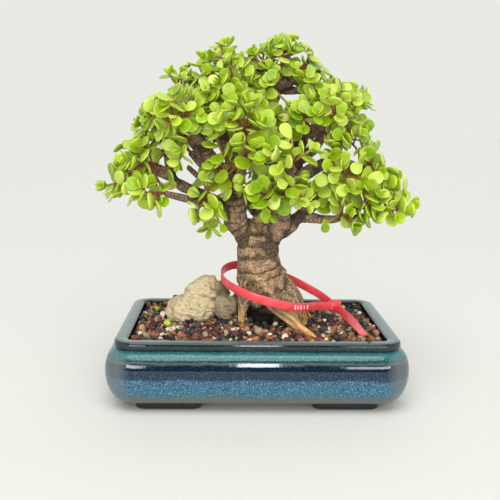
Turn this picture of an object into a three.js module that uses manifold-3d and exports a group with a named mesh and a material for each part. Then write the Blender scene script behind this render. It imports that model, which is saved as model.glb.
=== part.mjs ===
// Dwarf jade bonsai in a glazed ceramic tray pot, with a lava rock and a red strap tag.
// Millimetres, +Z up, the pot's front faces -Y and its feet stand on z = 0.

import * as THREE from 'three';
import { mergeVertices } from 'three/addons/utils/BufferGeometryUtils.js';
import Module from 'manifold-3d';

const wasm = await Module();
wasm.setup();

// Pot
const lipHalfLength = 95;
const lipHalfWidth = 70;
const lipCorner = 15;
const potHeight = 48;
const undersideHeight = 5.5;
const bulgeHeight = 26;
const bulgeOut = 6.5; // how far the widest part stands beyond the lip
const bowlInset = 13; // how far the underside's edge is in from the widest part
const neckHeight = 41.4;
const neckInset = 7;
const floorHeight = 12;
const cornerSteps = 4;
const drainRadius = 8;
const drainOffset = 45;
const footLength = 46;
const footDepth = 26;
const footEndX = 82;
const footFrontY = 64;

// Contact and filling
const contactGap = 0.3;
const soilLevel = 44.6;
const soilMound = 3.2;
const grainCell = 12;
const grainRelief = 2.4;

// Foliage
const leafLength = 11;
const leafHalfWidth = 0.43; // of the leaf's length
const leafHalfThick = 0.1; // of the leaf's length
const pairSpacing = 7;
const shootBase = 1.5;
const shootTip = 0.8;
const foliageSeed = 2718;
const sideTwig = 5; // the number of a spray's short side shoot

const palette = {
	glaze: { color: 0x2f6478, roughness: 0.18 },
	mesh: { color: 0x2b2b2b, roughness: 0.6 },
	soil: { color: 0x8a5341, roughness: 0.95 },
	bark: { color: 0x7a6a58, roughness: 0.9 },
	rock: { color: 0xc9b98e, roughness: 0.95 },
	strap: { color: 0xe8434a, roughness: 0.35 },
	leaf: { color: 0x97bd22, roughness: 0.45 }
};

// Wood: each limb is a line of points, x, y, z and radius, from its root to its end.
const limbs = {
	trunk: [
		[ 8, 9, 43, 15 ], [ 8.5, 7.5, 53, 16.5 ], [ 8.5, 5, 62, 19 ], [ 6.5, 4, 69, 18.6 ],
		[ 4, 4, 77, 17.3 ], [ 2.2, 3.5, 85, 16.3 ], [ 1.2, 3, 94, 15.2 ], [ 2, 3, 103, 15.7 ],
		[ 2.5, 3, 110, 15 ]
	],
	burl: [ [ 12, 1, 83, 7 ], [ 18.5, -0.5, 82, 4.6 ], [ 21.5, -1, 81, 2.6 ] ],
	leftLimb: [
		[ 0, 2, 98, 11.4 ], [ -8, 0, 111, 9.2 ], [ -15, -3, 120.5, 9 ], [ -15.5, -6, 130, 8.2 ],
		[ -18, -8, 141, 7.8 ], [ -22, -10, 149, 7.2 ], [ -28, -12, 157, 5.6 ], [ -33, -14, 165, 4.8 ],
		[ -38, -15, 173, 4.6 ], [ -43, -16, 181, 4.3 ], [ -51, -18, 186, 3.4 ]
	],
	leftTwin: [
		[ -21, -8, 148, 5.2 ], [ -31, -3, 157, 4.7 ], [ -38, 0, 165, 4.2 ], [ -44, 1, 173, 3.8 ],
		[ -51, 0, 181, 3 ]
	],
	leftUpright: [
		[ -18, -8, 142, 6.4 ], [ -16.5, -5, 152, 6 ], [ -18, -1, 163, 5.4 ], [ -23, 2, 174, 5 ],
		[ -28, 4, 187, 4.2 ], [ -31, 6, 197, 3.2 ]
	],
	crossTwig: [ [ -23, 2, 176, 2.4 ], [ -31, 5, 177, 2.1 ], [ -39, 10, 181, 1.7 ] ],
	leftLow: [
		[ -14, -2, 127, 5.6 ], [ -28, 2, 132, 4.8 ], [ -43, 4, 139, 4.2 ], [ -54, 4, 144, 4 ],
		[ -60, 2, 150, 3.9 ], [ -62.5, 0, 163, 3.6 ], [ -66, -2, 171, 2.8 ]
	],
	leftStub: [ [ -59, 2, 149, 4 ], [ -69, -4, 155, 4.4 ], [ -77, -8, 158, 4.2 ], [ -83, -10, 160, 3.8 ] ],
	leftLower: [
		[ -14, -5, 123, 4.6 ], [ -33, -12, 132, 3.4 ], [ -44, -16, 135, 3 ], [ -55, -20, 138, 2.7 ],
		[ -64, -23, 140.5, 2.2 ]
	],
	innerTwig: [ [ -19, -7, 145, 3.2 ], [ -31, -1, 147, 2.6 ], [ -41, 4, 150, 2.4 ], [ -50, 10, 157, 2 ] ],
	rightFork: [
		[ 3, 2, 98, 11.2 ], [ 11.5, -3, 110, 8.8 ], [ 16.5, -9, 120, 7.2 ], [ 18, -14, 130, 5.8 ],
		[ 20, -19, 139, 4.2 ]
	],
	rightLow: [
		[ 11, -2, 108, 7.4 ], [ 22, -3, 116, 5.9 ], [ 29, -5, 122.5, 5.2 ], [ 36, -9, 123.5, 4.2 ],
		[ 44, -12, 122.5, 3.4 ], [ 53, -16, 122.8, 2.9 ], [ 61, -20, 125.5, 2.5 ], [ 69, -22, 125, 2.2 ],
		[ 78, -24, 127, 1.8 ]
	],
	rightLowFork: [ [ 28, -5, 122, 5 ], [ 35, -7, 128.5, 4.6 ], [ 43, -5, 133, 3.6 ], [ 50, 1, 138, 2.8 ] ],
	leader: [
		[ 2, 4, 100, 11.5 ], [ 4, 9, 116, 8.6 ], [ 6, 11, 128, 7.4 ], [ 8, 11, 141, 6.8 ],
		[ 9, 10, 152, 6 ], [ 9, 10, 165, 5.6 ], [ 11, 9, 178, 5.2 ], [ 10, 8, 192, 5 ],
		[ 9.5, 8, 204, 5.4 ], [ 13, 6, 213, 5.6 ], [ 21, 4, 218, 5 ], [ 27, 2, 223, 4 ]
	],
	topTwig: [ [ 13, 6, 214, 3.2 ], [ 15, 4, 222, 2.7 ], [ 16, 2, 229, 2 ] ],
	topRight: [ [ 13, 6, 212, 3.8 ], [ 32, 8, 212, 2.8 ], [ 46, 6, 213, 2 ] ],
	topLeft: [ [ 10, 8, 194, 4 ], [ 0, 4, 205, 3.2 ], [ -10, 2, 216, 2.6 ], [ -18, 0, 226, 2 ] ],
	upperLeft: [ [ -28, 4, 187, 3.8 ], [ -34, 4, 200, 2.8 ], [ -38, 2, 212, 2 ] ],
	rightUpper: [
		[ 8, 11, 140, 5.2 ], [ 18, 7, 146, 5.3 ], [ 26, 3, 154, 5.2 ], [ 29, 0, 163, 5 ],
		[ 29, -2, 172, 4.8 ], [ 34, -4, 179, 4.6 ], [ 42, -8, 187, 4.4 ], [ 48, -10, 191.5, 3.8 ]
	],
	rightInner: [ [ 28.5, -2, 172, 4.2 ], [ 24, -1, 181, 3.6 ], [ 19, -1, 188, 2.8 ] ],
	rightMid: [
		[ 17, 7, 146, 5.2 ], [ 27, -3, 150, 4.7 ], [ 34, -9, 154.5, 4.8 ], [ 41, -12, 159, 4.5 ],
		[ 48, -14, 162, 3.6 ], [ 57, -16, 164, 2.8 ], [ 64, -18, 162, 2.3 ], [ 70, -19, 160, 1.9 ]
	],
	rightBack: [
		[ 29, 0, 162, 4.6 ], [ 36, 10, 167, 4.3 ], [ 43, 19, 172, 4.2 ], [ 48, 27, 180, 3.4 ],
		[ 52, 33, 189, 2.4 ]
	],
	backLeft: [
		[ 5, 10, 121, 6.2 ], [ -6, 20, 132, 5.2 ], [ -20, 32, 142, 4.6 ], [ -36, 42, 153, 3.8 ],
		[ -50, 50, 166, 2.6 ]
	],
	backLeftUp: [ [ -19, 31, 141, 4 ], [ -18, 44, 157, 3.2 ], [ -14, 54, 173, 2.4 ] ],
	backRight: [
		[ 8, 11, 133, 5.8 ], [ 20, 24, 142, 5 ], [ 36, 36, 150, 4.2 ], [ 52, 46, 160, 3.2 ],
		[ 64, 52, 171, 2.2 ]
	],
	backRightUp: [ [ 30, 31, 147, 3.8 ], [ 26, 44, 161, 3 ], [ 22, 55, 177, 2.2 ] ],
	backLow: [
		[ 2, 6, 107, 7.2 ], [ 4, 24, 116, 5.2 ], [ 6, 40, 124, 4.2 ], [ 8, 56, 134, 3.2 ],
		[ 10, 68, 145, 2.2 ]
	],
	backTop: [ [ 9, 10, 159, 4.6 ], [ 4, 22, 174, 3.8 ], [ 0, 34, 188, 3 ], [ -4, 42, 202, 2.2 ] ],
	backTopRight: [ [ 11, 9, 179, 4.2 ], [ 22, 20, 190, 3.4 ], [ 32, 28, 203, 2.4 ] ],
	front: [ [ -17, -8, 137, 4.8 ], [ -14, -22, 150, 3.8 ], [ -10, -36, 162, 3 ], [ -8, -46, 176, 2.2 ] ],
	frontRight: [ [ 18, -14, 132, 4.4 ], [ 18, -32, 144, 3.4 ], [ 20, -46, 155, 2.6 ], [ 22, -55, 160, 2 ] ],
	leftFront: [ [ -38, -15, 173, 4 ], [ -44, -28, 180, 2.8 ], [ -50, -37, 186, 2.2 ] ],
	rightFront: [ [ 34, -4, 178, 4 ], [ 40, -20, 185, 2.8 ], [ 45, -32, 191, 2.2 ] ],
	spurRoot: [
		[ 9, -5, 67, 8.5 ], [ 14.5, -15, 60, 5.4 ], [ 22, -25, 54.8, 4.6 ], [ 31, -33, 48, 3.7 ],
		[ 39, -39, 43.5, 3.4 ], [ 45, -43, 38, 2.8 ]
	],
	rightRoot: [
		[ 19, 1, 67, 9.5 ], [ 28, -3, 58, 7.4 ], [ 33, -7, 50, 6.4 ], [ 36, -10, 42, 5 ],
		[ 37, -12, 34, 3.6 ]
	],
	rightFlare: [
		[ 13, 6, 73, 12 ], [ 22, 7, 63, 10.4 ], [ 29, 9, 54, 8.2 ], [ 36, 13, 45, 6 ], [ 42, 18, 37, 4 ]
	],
	leftRoot: [
		[ -3, -2, 75, 9 ], [ -8, -6, 64, 5.8 ], [ -9.5, -10, 56, 3.9 ], [ -10.5, -14, 48, 3.3 ],
		[ -11, -17, 40, 2.8 ]
	],
	leftBackRoot: [ [ -3, 8, 67, 9.5 ], [ -12, 14, 56, 7 ], [ -21, 21, 47, 5.2 ], [ -29, 27, 39, 3.6 ] ],
	backRoot: [ [ 6, 14, 65, 9.5 ], [ 8, 25, 54, 7 ], [ 11, 35, 46, 5.2 ], [ 13, 43, 38, 3.6 ] ],
	backRightRoot: [ [ 16, 12, 63, 9.5 ], [ 26, 23, 52, 6.6 ], [ 36, 31, 44, 5 ], [ 44, 37, 37, 3.6 ] ],
	tapRoot: [ [ 7, 6, 50, 14 ], [ 6, 4, 36, 9 ], [ 5, 2, 22, 4 ] ]
};

// Foliage: each spray sits on a limb, at a share of its length, with a leaf size and its shoots' tips.
const sprays = [
	[ 'leftStub', 0.85, 1, [ -105, -21, 145 ], [ -97, -2, 152 ] ],
	[ 'leftStub', 0.5, 1, [ -90, -25, 163 ] ],
	[ 'leftLower', 1, 1.1, [ -66, -34, 138 ], [ -92, -33, 142 ] ],
	[ 'leftLow', 1, 1, [ -70, -20, 179 ], [ -83, 6, 174 ] ],
	[ 'leftTwin', 1, 1, [ -76, -15, 192 ], [ -72, 8, 192 ] ],
	[ 'leftLimb', 1, 1, [ -66, -33, 194 ] ],
	[ 'leftFront', 1, 1.1, [ -49, -52, 197 ], [ -64, -48, 184 ] ],
	[ 'leftFront', 0.6, 1, [ -52, -44, 172 ] ],
	[ 'upperLeft', 0.6, 0.95, [ -62, -6, 221 ], [ -50, 14, 213 ] ],
	[ 'upperLeft', 1, 1, [ -37, -12, 221 ] ],
	[ 'leftUpright', 0.7, 1, [ -36, -29, 209 ] ],
	[ 'topLeft', 1, 1, [ -22, -5, 233 ], [ -24, 15, 228 ] ],
	[ 'topLeft', 0.6, 1.05, [ -27, -29, 216 ] ],
	[ 'front', 1, 1.1, [ -19, -58, 198 ], [ -4, -56, 190 ] ],
	[ 'front', 0.75, 1.1, [ -4, -62, 174 ] ],
	[ 'front', 0.5, 1, [ -31, -46, 185 ] ],
	[ 'leftLimb', 0.5, 0.85, [ -27, -31, 164 ] ],
	[ 'leftLower', 0.3, 1.2, [ -40, -30, 140 ], [ -33, -29, 118 ] ],
	[ 'frontRight', 0.3, 1, [ -11, -45, 150 ] ],
	[ 'frontRight', 0.45, 0.95, [ 5, -48, 132 ] ],
	[ 'frontRight', 0.6, 0.95, [ 26, -54, 140 ] ],
	[ 'frontRight', 1, 1.1, [ 14, -70, 162 ], [ 32, -68, 173 ] ],
	[ 'topTwig', 1, 1, [ 18, -2, 239 ], [ 22, 10, 232 ] ],
	[ 'topTwig', 0.4, 1, [ -4, -9, 235 ] ],
	[ 'leader', 1, 1, [ 30, 2, 226 ], [ 40, 15, 222 ] ],
	[ 'leader', 0.8, 1, [ 7, -29, 216 ] ],
	[ 'topRight', 1, 1, [ 50, 1, 213 ], [ 56, 20, 206 ] ],
	[ 'topRight', 0.5, 1, [ 33, -23, 220 ] ],
	[ 'rightUpper', 1, 0.95, [ 73, -13, 206 ], [ 62, -32, 205 ] ],
	[ 'rightFront', 1, 1, [ 50, -50, 195 ] ],
	[ 'rightFront', 0.5, 1, [ 26, -45, 197 ] ],
	[ 'leader', 0.62, 1.05, [ 0, -33, 198 ] ],
	[ 'rightInner', 0.5, 0.95, [ 16, -33, 179 ] ],
	[ 'rightUpper', 0.85, 1, [ 67, -33, 182 ], [ 74, -8, 186 ] ],
	[ 'rightMid', 0.68, 0.95, [ 47, -40, 168 ] ],
	[ 'rightMid', 1, 1, [ 80, -34, 158 ], [ 80, -16, 163 ] ],
	[ 'rightMid', 0.85, 1.15, [ 58, -46, 149 ] ],
	[ 'rightLow', 0.72, 1.05, [ 60, -42, 130 ] ],
	[ 'rightLow', 1, 1.05, [ 104, -29, 134 ], [ 90, -38, 127 ] ],
	[ 'rightLow', 0.88, 1, [ 79, -42, 142 ] ],
	[ 'rightLowFork', 1, 1, [ 98, -4, 151 ], [ 90, 16, 145 ] ],
	[ 'rightLowFork', 0.5, 1.2, [ 40, -35, 144 ] ],
	[ 'backLeft', 1, 1, [ -62, 58, 177 ], [ -74, 42, 160 ] ],
	[ 'backLeftUp', 1, 1, [ -18, 66, 188 ], [ -34, 62, 172 ] ],
	[ 'backLow', 1, 1, [ 14, 80, 156 ], [ -8, 76, 148 ] ],
	[ 'backRight', 1, 1, [ 76, 58, 180 ], [ 82, 42, 162 ] ],
	[ 'backRightUp', 1, 1, [ 24, 68, 192 ], [ 44, 64, 177 ] ],
	[ 'backTop', 1, 1, [ -8, 50, 216 ], [ -24, 44, 204 ] ],
	[ 'backTopRight', 1, 1, [ 42, 36, 214 ], [ 18, 40, 222 ] ],
	[ 'rightBack', 1, 1, [ 62, 42, 201 ], [ 74, 22, 192 ] ],
	[ 'crossTwig', 1, 1, [ -52, 24, 194 ], [ -58, 36, 180 ] ]
];

// Strap tag: the loop round the trunk's foot, and the loose tail that lies on the grains.
const strapWidth = 6;
const strapThick = 1.1;
const strapLoop = [
	[ 58, 6, 56 ], [ 44, -5, 58.5 ], [ 31, -20, 60.5 ], [ 21, -29, 63.5 ], [ 9.5, -33, 67 ], [ -3, -31, 70.5 ],
	[ -14, -24, 74 ], [ -22, -13, 77 ], [ -25, -2, 80 ], [ -22.5, 9, 83 ], [ -15, 19, 84 ], [ -3, 26, 82 ],
	[ 9, 28, 79 ], [ 22, 26, 74.5 ], [ 37, 21, 68 ], [ 50, 14, 61.5 ]
];
const strapTail = [
	[ 57, 9, 56 ], [ 62, 0, 54 ], [ 66, -13, 52 ], [ 68.7, -27, 50.4 ], [ 70.5, -40, 49.2 ], [ 71.5, -51, 48.6 ]
];
const headSize = [ 9, 6, 8 ];

// Rock: two lumps grown together, each a centre and three half-sizes.
const rockLumps = [
	{ centre: [ -43, 6, 56 ], half: [ 20.5, 15, 19 ] },
	{ centre: [ -21, 0, 51 ], half: [ 10, 9, 9.5 ] }
];

function solidFrom( geometry ) {

	const bare = geometry.clone();
	bare.deleteAttribute( 'normal' );
	bare.deleteAttribute( 'uv' );
	const merged = mergeVertices( bare, 1e-4 );
	return new wasm.Manifold( new wasm.Mesh( {
		numProp: 3,
		vertProperties: new Float32Array( merged.attributes.position.array ),
		triVerts: new Uint32Array( merged.index.array )
	} ) );

}

function geometryFrom( solid ) {

	const mesh = solid.getMesh();
	const geometry = new THREE.BufferGeometry();
	geometry.setAttribute( 'position', new THREE.BufferAttribute( mesh.vertProperties, 3 ) );
	geometry.setIndex( new THREE.BufferAttribute( mesh.triVerts, 1 ) );
	return geometry;

}

function namedMesh( name, geometry, finish ) {

	geometry.computeVertexNormals();
	const material = new THREE.MeshStandardMaterial( { ...palette[ finish ], flatShading: true } );
	const mesh = new THREE.Mesh( geometry, material );
	mesh.name = name;
	return mesh;

}

// A closed skin over rings of equal count, with a point at each end to close it.
function skin( rings, firstPole, lastPole ) {

	const count = rings[ 0 ].length;
	const vertices = [ firstPole, ...rings.flat(), lastPole ];
	const last = vertices.length - 1;
	const faces = [];
	for ( let i = 0; i < count; i ++ ) {

		const j = ( i + 1 ) % count;
		faces.push( 0, 1 + j, 1 + i );
		for ( let k = 0; k < rings.length - 1; k ++ ) {

			const low = 1 + k * count;
			const high = low + count;
			faces.push( low + i, low + j, high + j );
			faces.push( low + i, high + j, high + i );

		}

		const end = last - count;
		faces.push( last, end + i, end + j );

	}

	const geometry = new THREE.BufferGeometry();
	geometry.setAttribute( 'position', new THREE.Float32BufferAttribute( vertices.flat(), 3 ) );
	geometry.setIndex( faces );
	return geometry;

}

// One level of the pot: a rounded rectangle set out from the lip's outline.
function potRing( out, z ) {

	const halfX = lipHalfLength + out;
	const halfY = lipHalfWidth + out;
	const radius = Math.max( lipCorner + out, 3 );
	const ring = [];
	for ( const [ quarter, signX, signY ] of [ [ 0, 1, 1 ], [ 1, - 1, 1 ], [ 2, - 1, - 1 ], [ 3, 1, - 1 ] ] ) {

		for ( let step = 0; step <= cornerSteps; step ++ ) {

			const angle = ( quarter + step / cornerSteps ) * Math.PI / 2;
			ring.push( [
				signX * ( halfX - radius ) + radius * Math.cos( angle ),
				signY * ( halfY - radius ) + radius * Math.sin( angle ),
				z
			] );

		}

	}

	return ring;

}

// The wall's inner side, from the floor up to the rim.
const innerProfile = [
	[ - 10, floorHeight ], [ - 3, 17 ], [ - 0.7, 26 ], [ - 3, 35 ], [ - 7.4, 41.5 ], [ - 7.9, 46.4 ]
];

function potBody() {

	const outer = [];
	for ( const angle of [ 90, 68, 46, 23, 0 ] ) {

		const turn = THREE.MathUtils.degToRad( angle );
		const out = bulgeOut - bowlInset * ( 1 - Math.cos( turn ) );
		outer.push( [ out, bulgeHeight - ( bulgeHeight - undersideHeight ) * Math.sin( turn ) ] );

	}

	for ( const angle of [ 30, 60, 90 ] ) {

		const turn = THREE.MathUtils.degToRad( angle );
		const out = bulgeOut - neckInset * ( 1 - Math.cos( turn ) );
		outer.push( [ out, bulgeHeight + ( neckHeight - bulgeHeight ) * Math.sin( turn ) ] );

	}

	const lip = [ [ - 0.4, 42.2 ], [ 0.2, 43.6 ], [ 0, 46.6 ], [ - 1.6, potHeight ], [ - 6.6, potHeight - 0.4 ] ];
	const levels = [ ...outer, ...lip, ...innerProfile.toReversed() ];
	const rings = levels.map( ( [ out, z ] ) => potRing( out, z ) );
	return skin( rings, [ 0, 0, undersideHeight ], [ 0, 0, floorHeight ] );

}

// A foot's plan is a rounded block that narrows towards the ground.
function foot( signX, signY ) {

	const corner = 6;
	const levels = [ [ - 4, 0 ], [ - 0.8, 1.8 ], [ 0, 8 ] ];
	const centreX = signX * ( footEndX - footLength / 2 );
	const centreY = signY * ( footFrontY - footDepth / 2 );
	const rings = levels.map( ( [ out, z ] ) => {

		const ring = [];
		for ( let quarter = 0; quarter < 4; quarter ++ ) {

			for ( let step = 0; step <= 2; step ++ ) {

				const angle = ( quarter + step / 2 ) * Math.PI / 2;
				const alongX = quarter === 0 || quarter === 3 ? 1 : - 1;
				const alongY = quarter < 2 ? 1 : - 1;
				ring.push( [
					centreX + alongX * ( footLength / 2 - corner ) + ( corner + out ) * Math.cos( angle ),
					centreY + alongY * ( footDepth / 2 - corner ) + ( corner + out ) * Math.sin( angle ),
					z
				] );

			}

		}

		return ring;

	} );
	return skin( rings, [ centreX, centreY, 0 ], [ centreX, centreY, 8 ] );

}

function makePot() {

	let pot = solidFrom( potBody() );
	for ( const signX of [ - 1, 1 ] ) {

		for ( const signY of [ - 1, 1 ] ) pot = pot.add( solidFrom( foot( signX, signY ) ) );
		const drain = new THREE.CylinderGeometry( drainRadius, drainRadius, 3 * floorHeight, 16 );
		drain.rotateX( Math.PI / 2 );
		drain.translate( signX * drainOffset, 0, floorHeight );
		pot = pot.subtract( solidFrom( drain ) );

	}

	return pot;

}

// A plastic square with three slots, which keeps the grains in over a drainage hole.
const screenSide = 26;
const screenThick = 1;
const slotWidth = 4;
const slotLength = 18;
const slotPitch = 7;

function drainScreen( signX ) {

	let screen = solidFrom( new THREE.BoxGeometry( screenSide, screenSide, screenThick ) );
	for ( const x of [ - slotPitch, 0, slotPitch ] ) {

		const slot = new THREE.BoxGeometry( slotWidth, slotLength, 2 * screenThick );
		slot.translate( x, 0, 0 );
		screen = screen.subtract( solidFrom( slot ) );

	}

	return screen.translate( signX * drainOffset, 0, floorHeight + contactGap + screenThick / 2 );

}

// A repeatable share from 0 to 1 for a list of whole numbers.
function dice( ...keys ) {

	let mixed = foliageSeed;
	for ( const key of keys ) {

		mixed = Math.imul( mixed ^ ( key + 1 ), 2654435761 );
		mixed ^= mixed >>> 15;
		mixed = Math.imul( mixed, 2246822519 );
		mixed ^= mixed >>> 13;

	}

	return ( mixed >>> 0 ) / 4294967296;

}

const add = ( a, b, share = 1 ) => a.map( ( value, i ) => value + share * b[ i ] );
const dot = ( a, b ) => a[ 0 ] * b[ 0 ] + a[ 1 ] * b[ 1 ] + a[ 2 ] * b[ 2 ];
const cross = ( a, b ) => [
	a[ 1 ] * b[ 2 ] - a[ 2 ] * b[ 1 ],
	a[ 2 ] * b[ 0 ] - a[ 0 ] * b[ 2 ],
	a[ 0 ] * b[ 1 ] - a[ 1 ] * b[ 0 ]
];
const scaled = ( a, share ) => a.map( ( value ) => value * share );
const unit = ( a ) => scaled( a, 1 / Math.hypot( ...a ) );
const apart = ( a, b ) => Math.hypot( a[ 0 ] - b[ 0 ], a[ 1 ] - b[ 1 ], a[ 2 ] - b[ 2 ] );

// A smooth line through x, y, z and radius, at a share of its length by points.
function along( points, share ) {

	const spans = points.length - 1;
	const at = Math.min( Math.max( share, 0 ), 1 ) * spans;
	const k = Math.min( Math.floor( at ), spans - 1 );
	const t = at - k;
	const b = points[ k ];
	const c = points[ k + 1 ];
	const a = k > 0 ? points[ k - 1 ] : add( scaled( b, 2 ), c, - 1 );
	const d = k + 2 <= spans ? points[ k + 2 ] : add( scaled( c, 2 ), b, - 1 );
	return b.map( ( _, i ) => 0.5 * (
		2 * b[ i ] + ( c[ i ] - a[ i ] ) * t
		+ ( 2 * a[ i ] - 5 * b[ i ] + 4 * c[ i ] - d[ i ] ) * t * t
		+ ( 3 * b[ i ] - a[ i ] - 3 * c[ i ] + d[ i ] ) * t * t * t
	) );

}

// A round tube through points of x, y, z and radius, closed at both ends by a point `dome` radii out.
function tube( stations, sides, dome = 0, grow = 0, relief = () => 1 ) {

	const rings = [];
	let across = [ 1, 0.13, 0 ];
	stations.forEach( ( station, k ) => {

		const before = stations[ Math.max( k - 1, 0 ) ];
		const after = stations[ Math.min( k + 1, stations.length - 1 ) ];
		const way = unit( add( after, before, - 1 ).slice( 0, 3 ) );
		across = unit( add( across, way, - dot( across, way ) ) );
		const other = cross( way, across );
		const ring = [];
		for ( let i = 0; i < sides; i ++ ) {

			const angle = i / sides * 2 * Math.PI;
			const radius = station[ 3 ] * relief( angle, station[ 2 ] ) + grow;
			const spoke = add( scaled( across, Math.cos( angle ) ), other, Math.sin( angle ) );
			ring.push( add( station.slice( 0, 3 ), spoke, radius ) );

		}

		rings.push( ring );

	} );
	const first = stations[ 0 ];
	const second = stations[ 1 ];
	const last = stations[ stations.length - 1 ];
	const beforeLast = stations[ stations.length - 2 ];
	const start = unit( add( first, second, - 1 ).slice( 0, 3 ) );
	const end = unit( add( last, beforeLast, - 1 ).slice( 0, 3 ) );
	return skin(
		rings,
		add( first.slice( 0, 3 ), start, dome * first[ 3 ] + grow ),
		add( last.slice( 0, 3 ), end, dome * last[ 3 ] + grow )
	);

}

// The trunk swells into three low ribs that run down into the roots.
function trunkRelief( angle, z ) {

	return 1 + 0.045 * Math.sin( 3 * angle + 0.04 * z ) + 0.025 * Math.sin( 0.55 * z );

}

const endDome = 0.3; // how far a limb's end bulges, in its own radii

function limbSides( points ) {

	const widest = Math.max( ...points.map( ( point ) => point[ 3 ] ) );
	if ( widest > 13 ) return 10;
	if ( widest > 9 ) return 7;
	return widest > 5 ? 5 : 4;

}

function limbSolid( name, grow = 0 ) {

	const points = limbs[ name ];
	const steps = name === 'trunk' ? 9 : Math.ceil( 0.7 * ( points.length - 1 ) );
	const stations = [];
	for ( let k = 0; k <= steps; k ++ ) stations.push( along( points, k / steps ) );
	const relief = name === 'trunk' ? trunkRelief : undefined;
	return solidFrom( tube( stations, limbSides( points ), endDome, grow, relief ) );

}

function makeWood( grow = 0 ) {

	return wasm.Manifold.union( Object.keys( limbs ).map( ( name ) => limbSolid( name, grow ) ) );

}

function makeRock( grow = 0 ) {

	const lumps = rockLumps.map( ( { centre, half } ) => {

		const ball = new THREE.IcosahedronGeometry( 1, half[ 0 ] > 15 ? 2 : 1 );
		const place = ball.attributes.position;
		for ( let i = 0; i < place.count; i ++ ) {

			const [ x, y, z ] = [ place.getX( i ), place.getY( i ), place.getZ( i ) ];
			const steep = Math.sin( 5.1 * x + 2.3 * z ) * Math.sin( 4.3 * y - 1.7 * x + centre[ 0 ] );
			const folds = 0.2 * steep * Math.cos( 4.7 * z + y );
			const size = 1 + folds + 0.09 * Math.sin( 9.7 * x + 7.9 * y - 6.1 * z );
			place.setXYZ(
				i,
				centre[ 0 ] + x * ( half[ 0 ] * size + grow ),
				centre[ 1 ] + y * ( half[ 1 ] * size + grow ),
				centre[ 2 ] + z * ( half[ 2 ] * size + grow )
			);

		}

		return solidFrom( ball );

	} );
	return lumps[ 0 ].add( lumps[ 1 ] );

}

// The pot's filling: a bed of coarse grains as relief, with plain pockets for the roots and the rock.
function makeSoil() {

	const halfX = 8 * grainCell;
	const halfY = 6 * grainCell;
	const ground = [];
	const columns = 17;
	const rows = 13;
	for ( let row = 0; row < rows; row ++ ) {

		for ( let column = 0; column < columns; column ++ ) {

			const shift = ( dice( row, column, 1 ) - 0.5 ) * 0.5 * grainCell;
			const x = - halfX + column * grainCell + shift;
			const y = - halfY + row * grainCell + ( dice( row, column, 2 ) - 0.5 ) * 0.5 * grainCell;
			const mound = soilMound * Math.exp( - ( x * x + y * y ) / 2600 );
			ground.push( [ x, y, soilLevel + mound + ( dice( row, column, 3 ) - 0.5 ) * grainRelief ] );

		}

	}

	const depth = - 400;
	const faces = [];
	const foot = ground.length;
	const rim = [];
	for ( let column = 0; column < columns - 1; column ++ ) rim.push( column );
	for ( let row = 0; row < rows - 1; row ++ ) rim.push( row * columns + columns - 1 );
	for ( let column = columns - 1; column > 0; column -- ) rim.push( ( rows - 1 ) * columns + column );
	for ( let row = rows - 1; row > 0; row -- ) rim.push( row * columns );
	rim.forEach( ( point, i ) => faces.push( rim[ ( i + 1 ) % rim.length ], point, foot ) );
	for ( let row = 0; row < rows - 1; row ++ ) {

		for ( let column = 0; column < columns - 1; column ++ ) {

			const corner = row * columns + column;
			faces.push( corner, corner + 1, corner + columns + 1 );
			faces.push( corner, corner + columns + 1, corner + columns );

		}

	}

	const relief = new THREE.BufferGeometry();
	const points = [ ...ground, [ 0, 0, depth ] ].flat();
	relief.setAttribute( 'position', new THREE.Float32BufferAttribute( points, 3 ) );
	relief.setIndex( faces );

	const top = innerProfile[ innerProfile.length - 1 ];
	const levels = [ innerProfile[ 0 ], innerProfile[ 2 ], innerProfile[ 4 ], top, [ top[ 0 ], 70 ] ];
	const rings = levels.map( ( [ out, z ], k ) => potRing( out - contactGap, k === 0 ? z + contactGap : z ) );
	const inside = skin( rings, [ 0, 0, floorHeight + contactGap ], [ 0, 0, 70 ] );
	let soil = solidFrom( relief ).intersect( solidFrom( inside ) );
	soil = soil.subtract( makeWood( 0.5 ) ).subtract( makeRock( 0.5 ) );
	for ( const signX of [ - 1, 1 ] ) {

		const side = screenSide + 2 * contactGap;
		const seat = new THREE.BoxGeometry( side, side, 2 * ( screenThick + 2 * contactGap ) );
		seat.translate( signX * drainOffset, 0, floorHeight );
		soil = soil.subtract( solidFrom( seat ) );

	}

	return soil;

}

// A flat strap's skin: its width stands up along `up`, and `closed` joins its ends.
function strapSolid( points, up, closed ) {

	const rings = points.map( ( point, k ) => {

		const count = points.length;
		const before = closed ? points[ ( k + count - 1 ) % count ] : points[ Math.max( k - 1, 0 ) ];
		const after = closed ? points[ ( k + 1 ) % count ] : points[ Math.min( k + 1, count - 1 ) ];
		const way = unit( add( after, before, - 1 ) );
		const wish = up( k / ( count - 1 ) );
		const tall = unit( add( wish, way, - dot( wish, way ) ) );
		const thin = cross( tall, way );
		const corners = [ [ 1, 1 ], [ - 1, 1 ], [ - 1, - 1 ], [ 1, - 1 ] ];
		const half = [ strapThick / 2, strapWidth / 2 ];
		return corners.map( ( [ a, b ] ) => add( add( point, thin, a * half[ 0 ] ), tall, b * half[ 1 ] ) );

	} );
	if ( ! closed ) return skin( rings, points[ 0 ], points[ points.length - 1 ] );
	const count = rings[ 0 ].length;
	const faces = [];
	rings.forEach( ( ring, k ) => {

		const low = k * count;
		const high = ( ( k + 1 ) % rings.length ) * count;
		ring.forEach( ( _, i ) => {

			const j = ( i + 1 ) % count;
			faces.push( low + i, low + j, high + j );
			faces.push( low + i, high + j, high + i );

		} );

	} );
	const geometry = new THREE.BufferGeometry();
	geometry.setAttribute( 'position', new THREE.Float32BufferAttribute( rings.flat( 2 ), 3 ) );
	geometry.setIndex( faces );
	return geometry;

}

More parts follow.
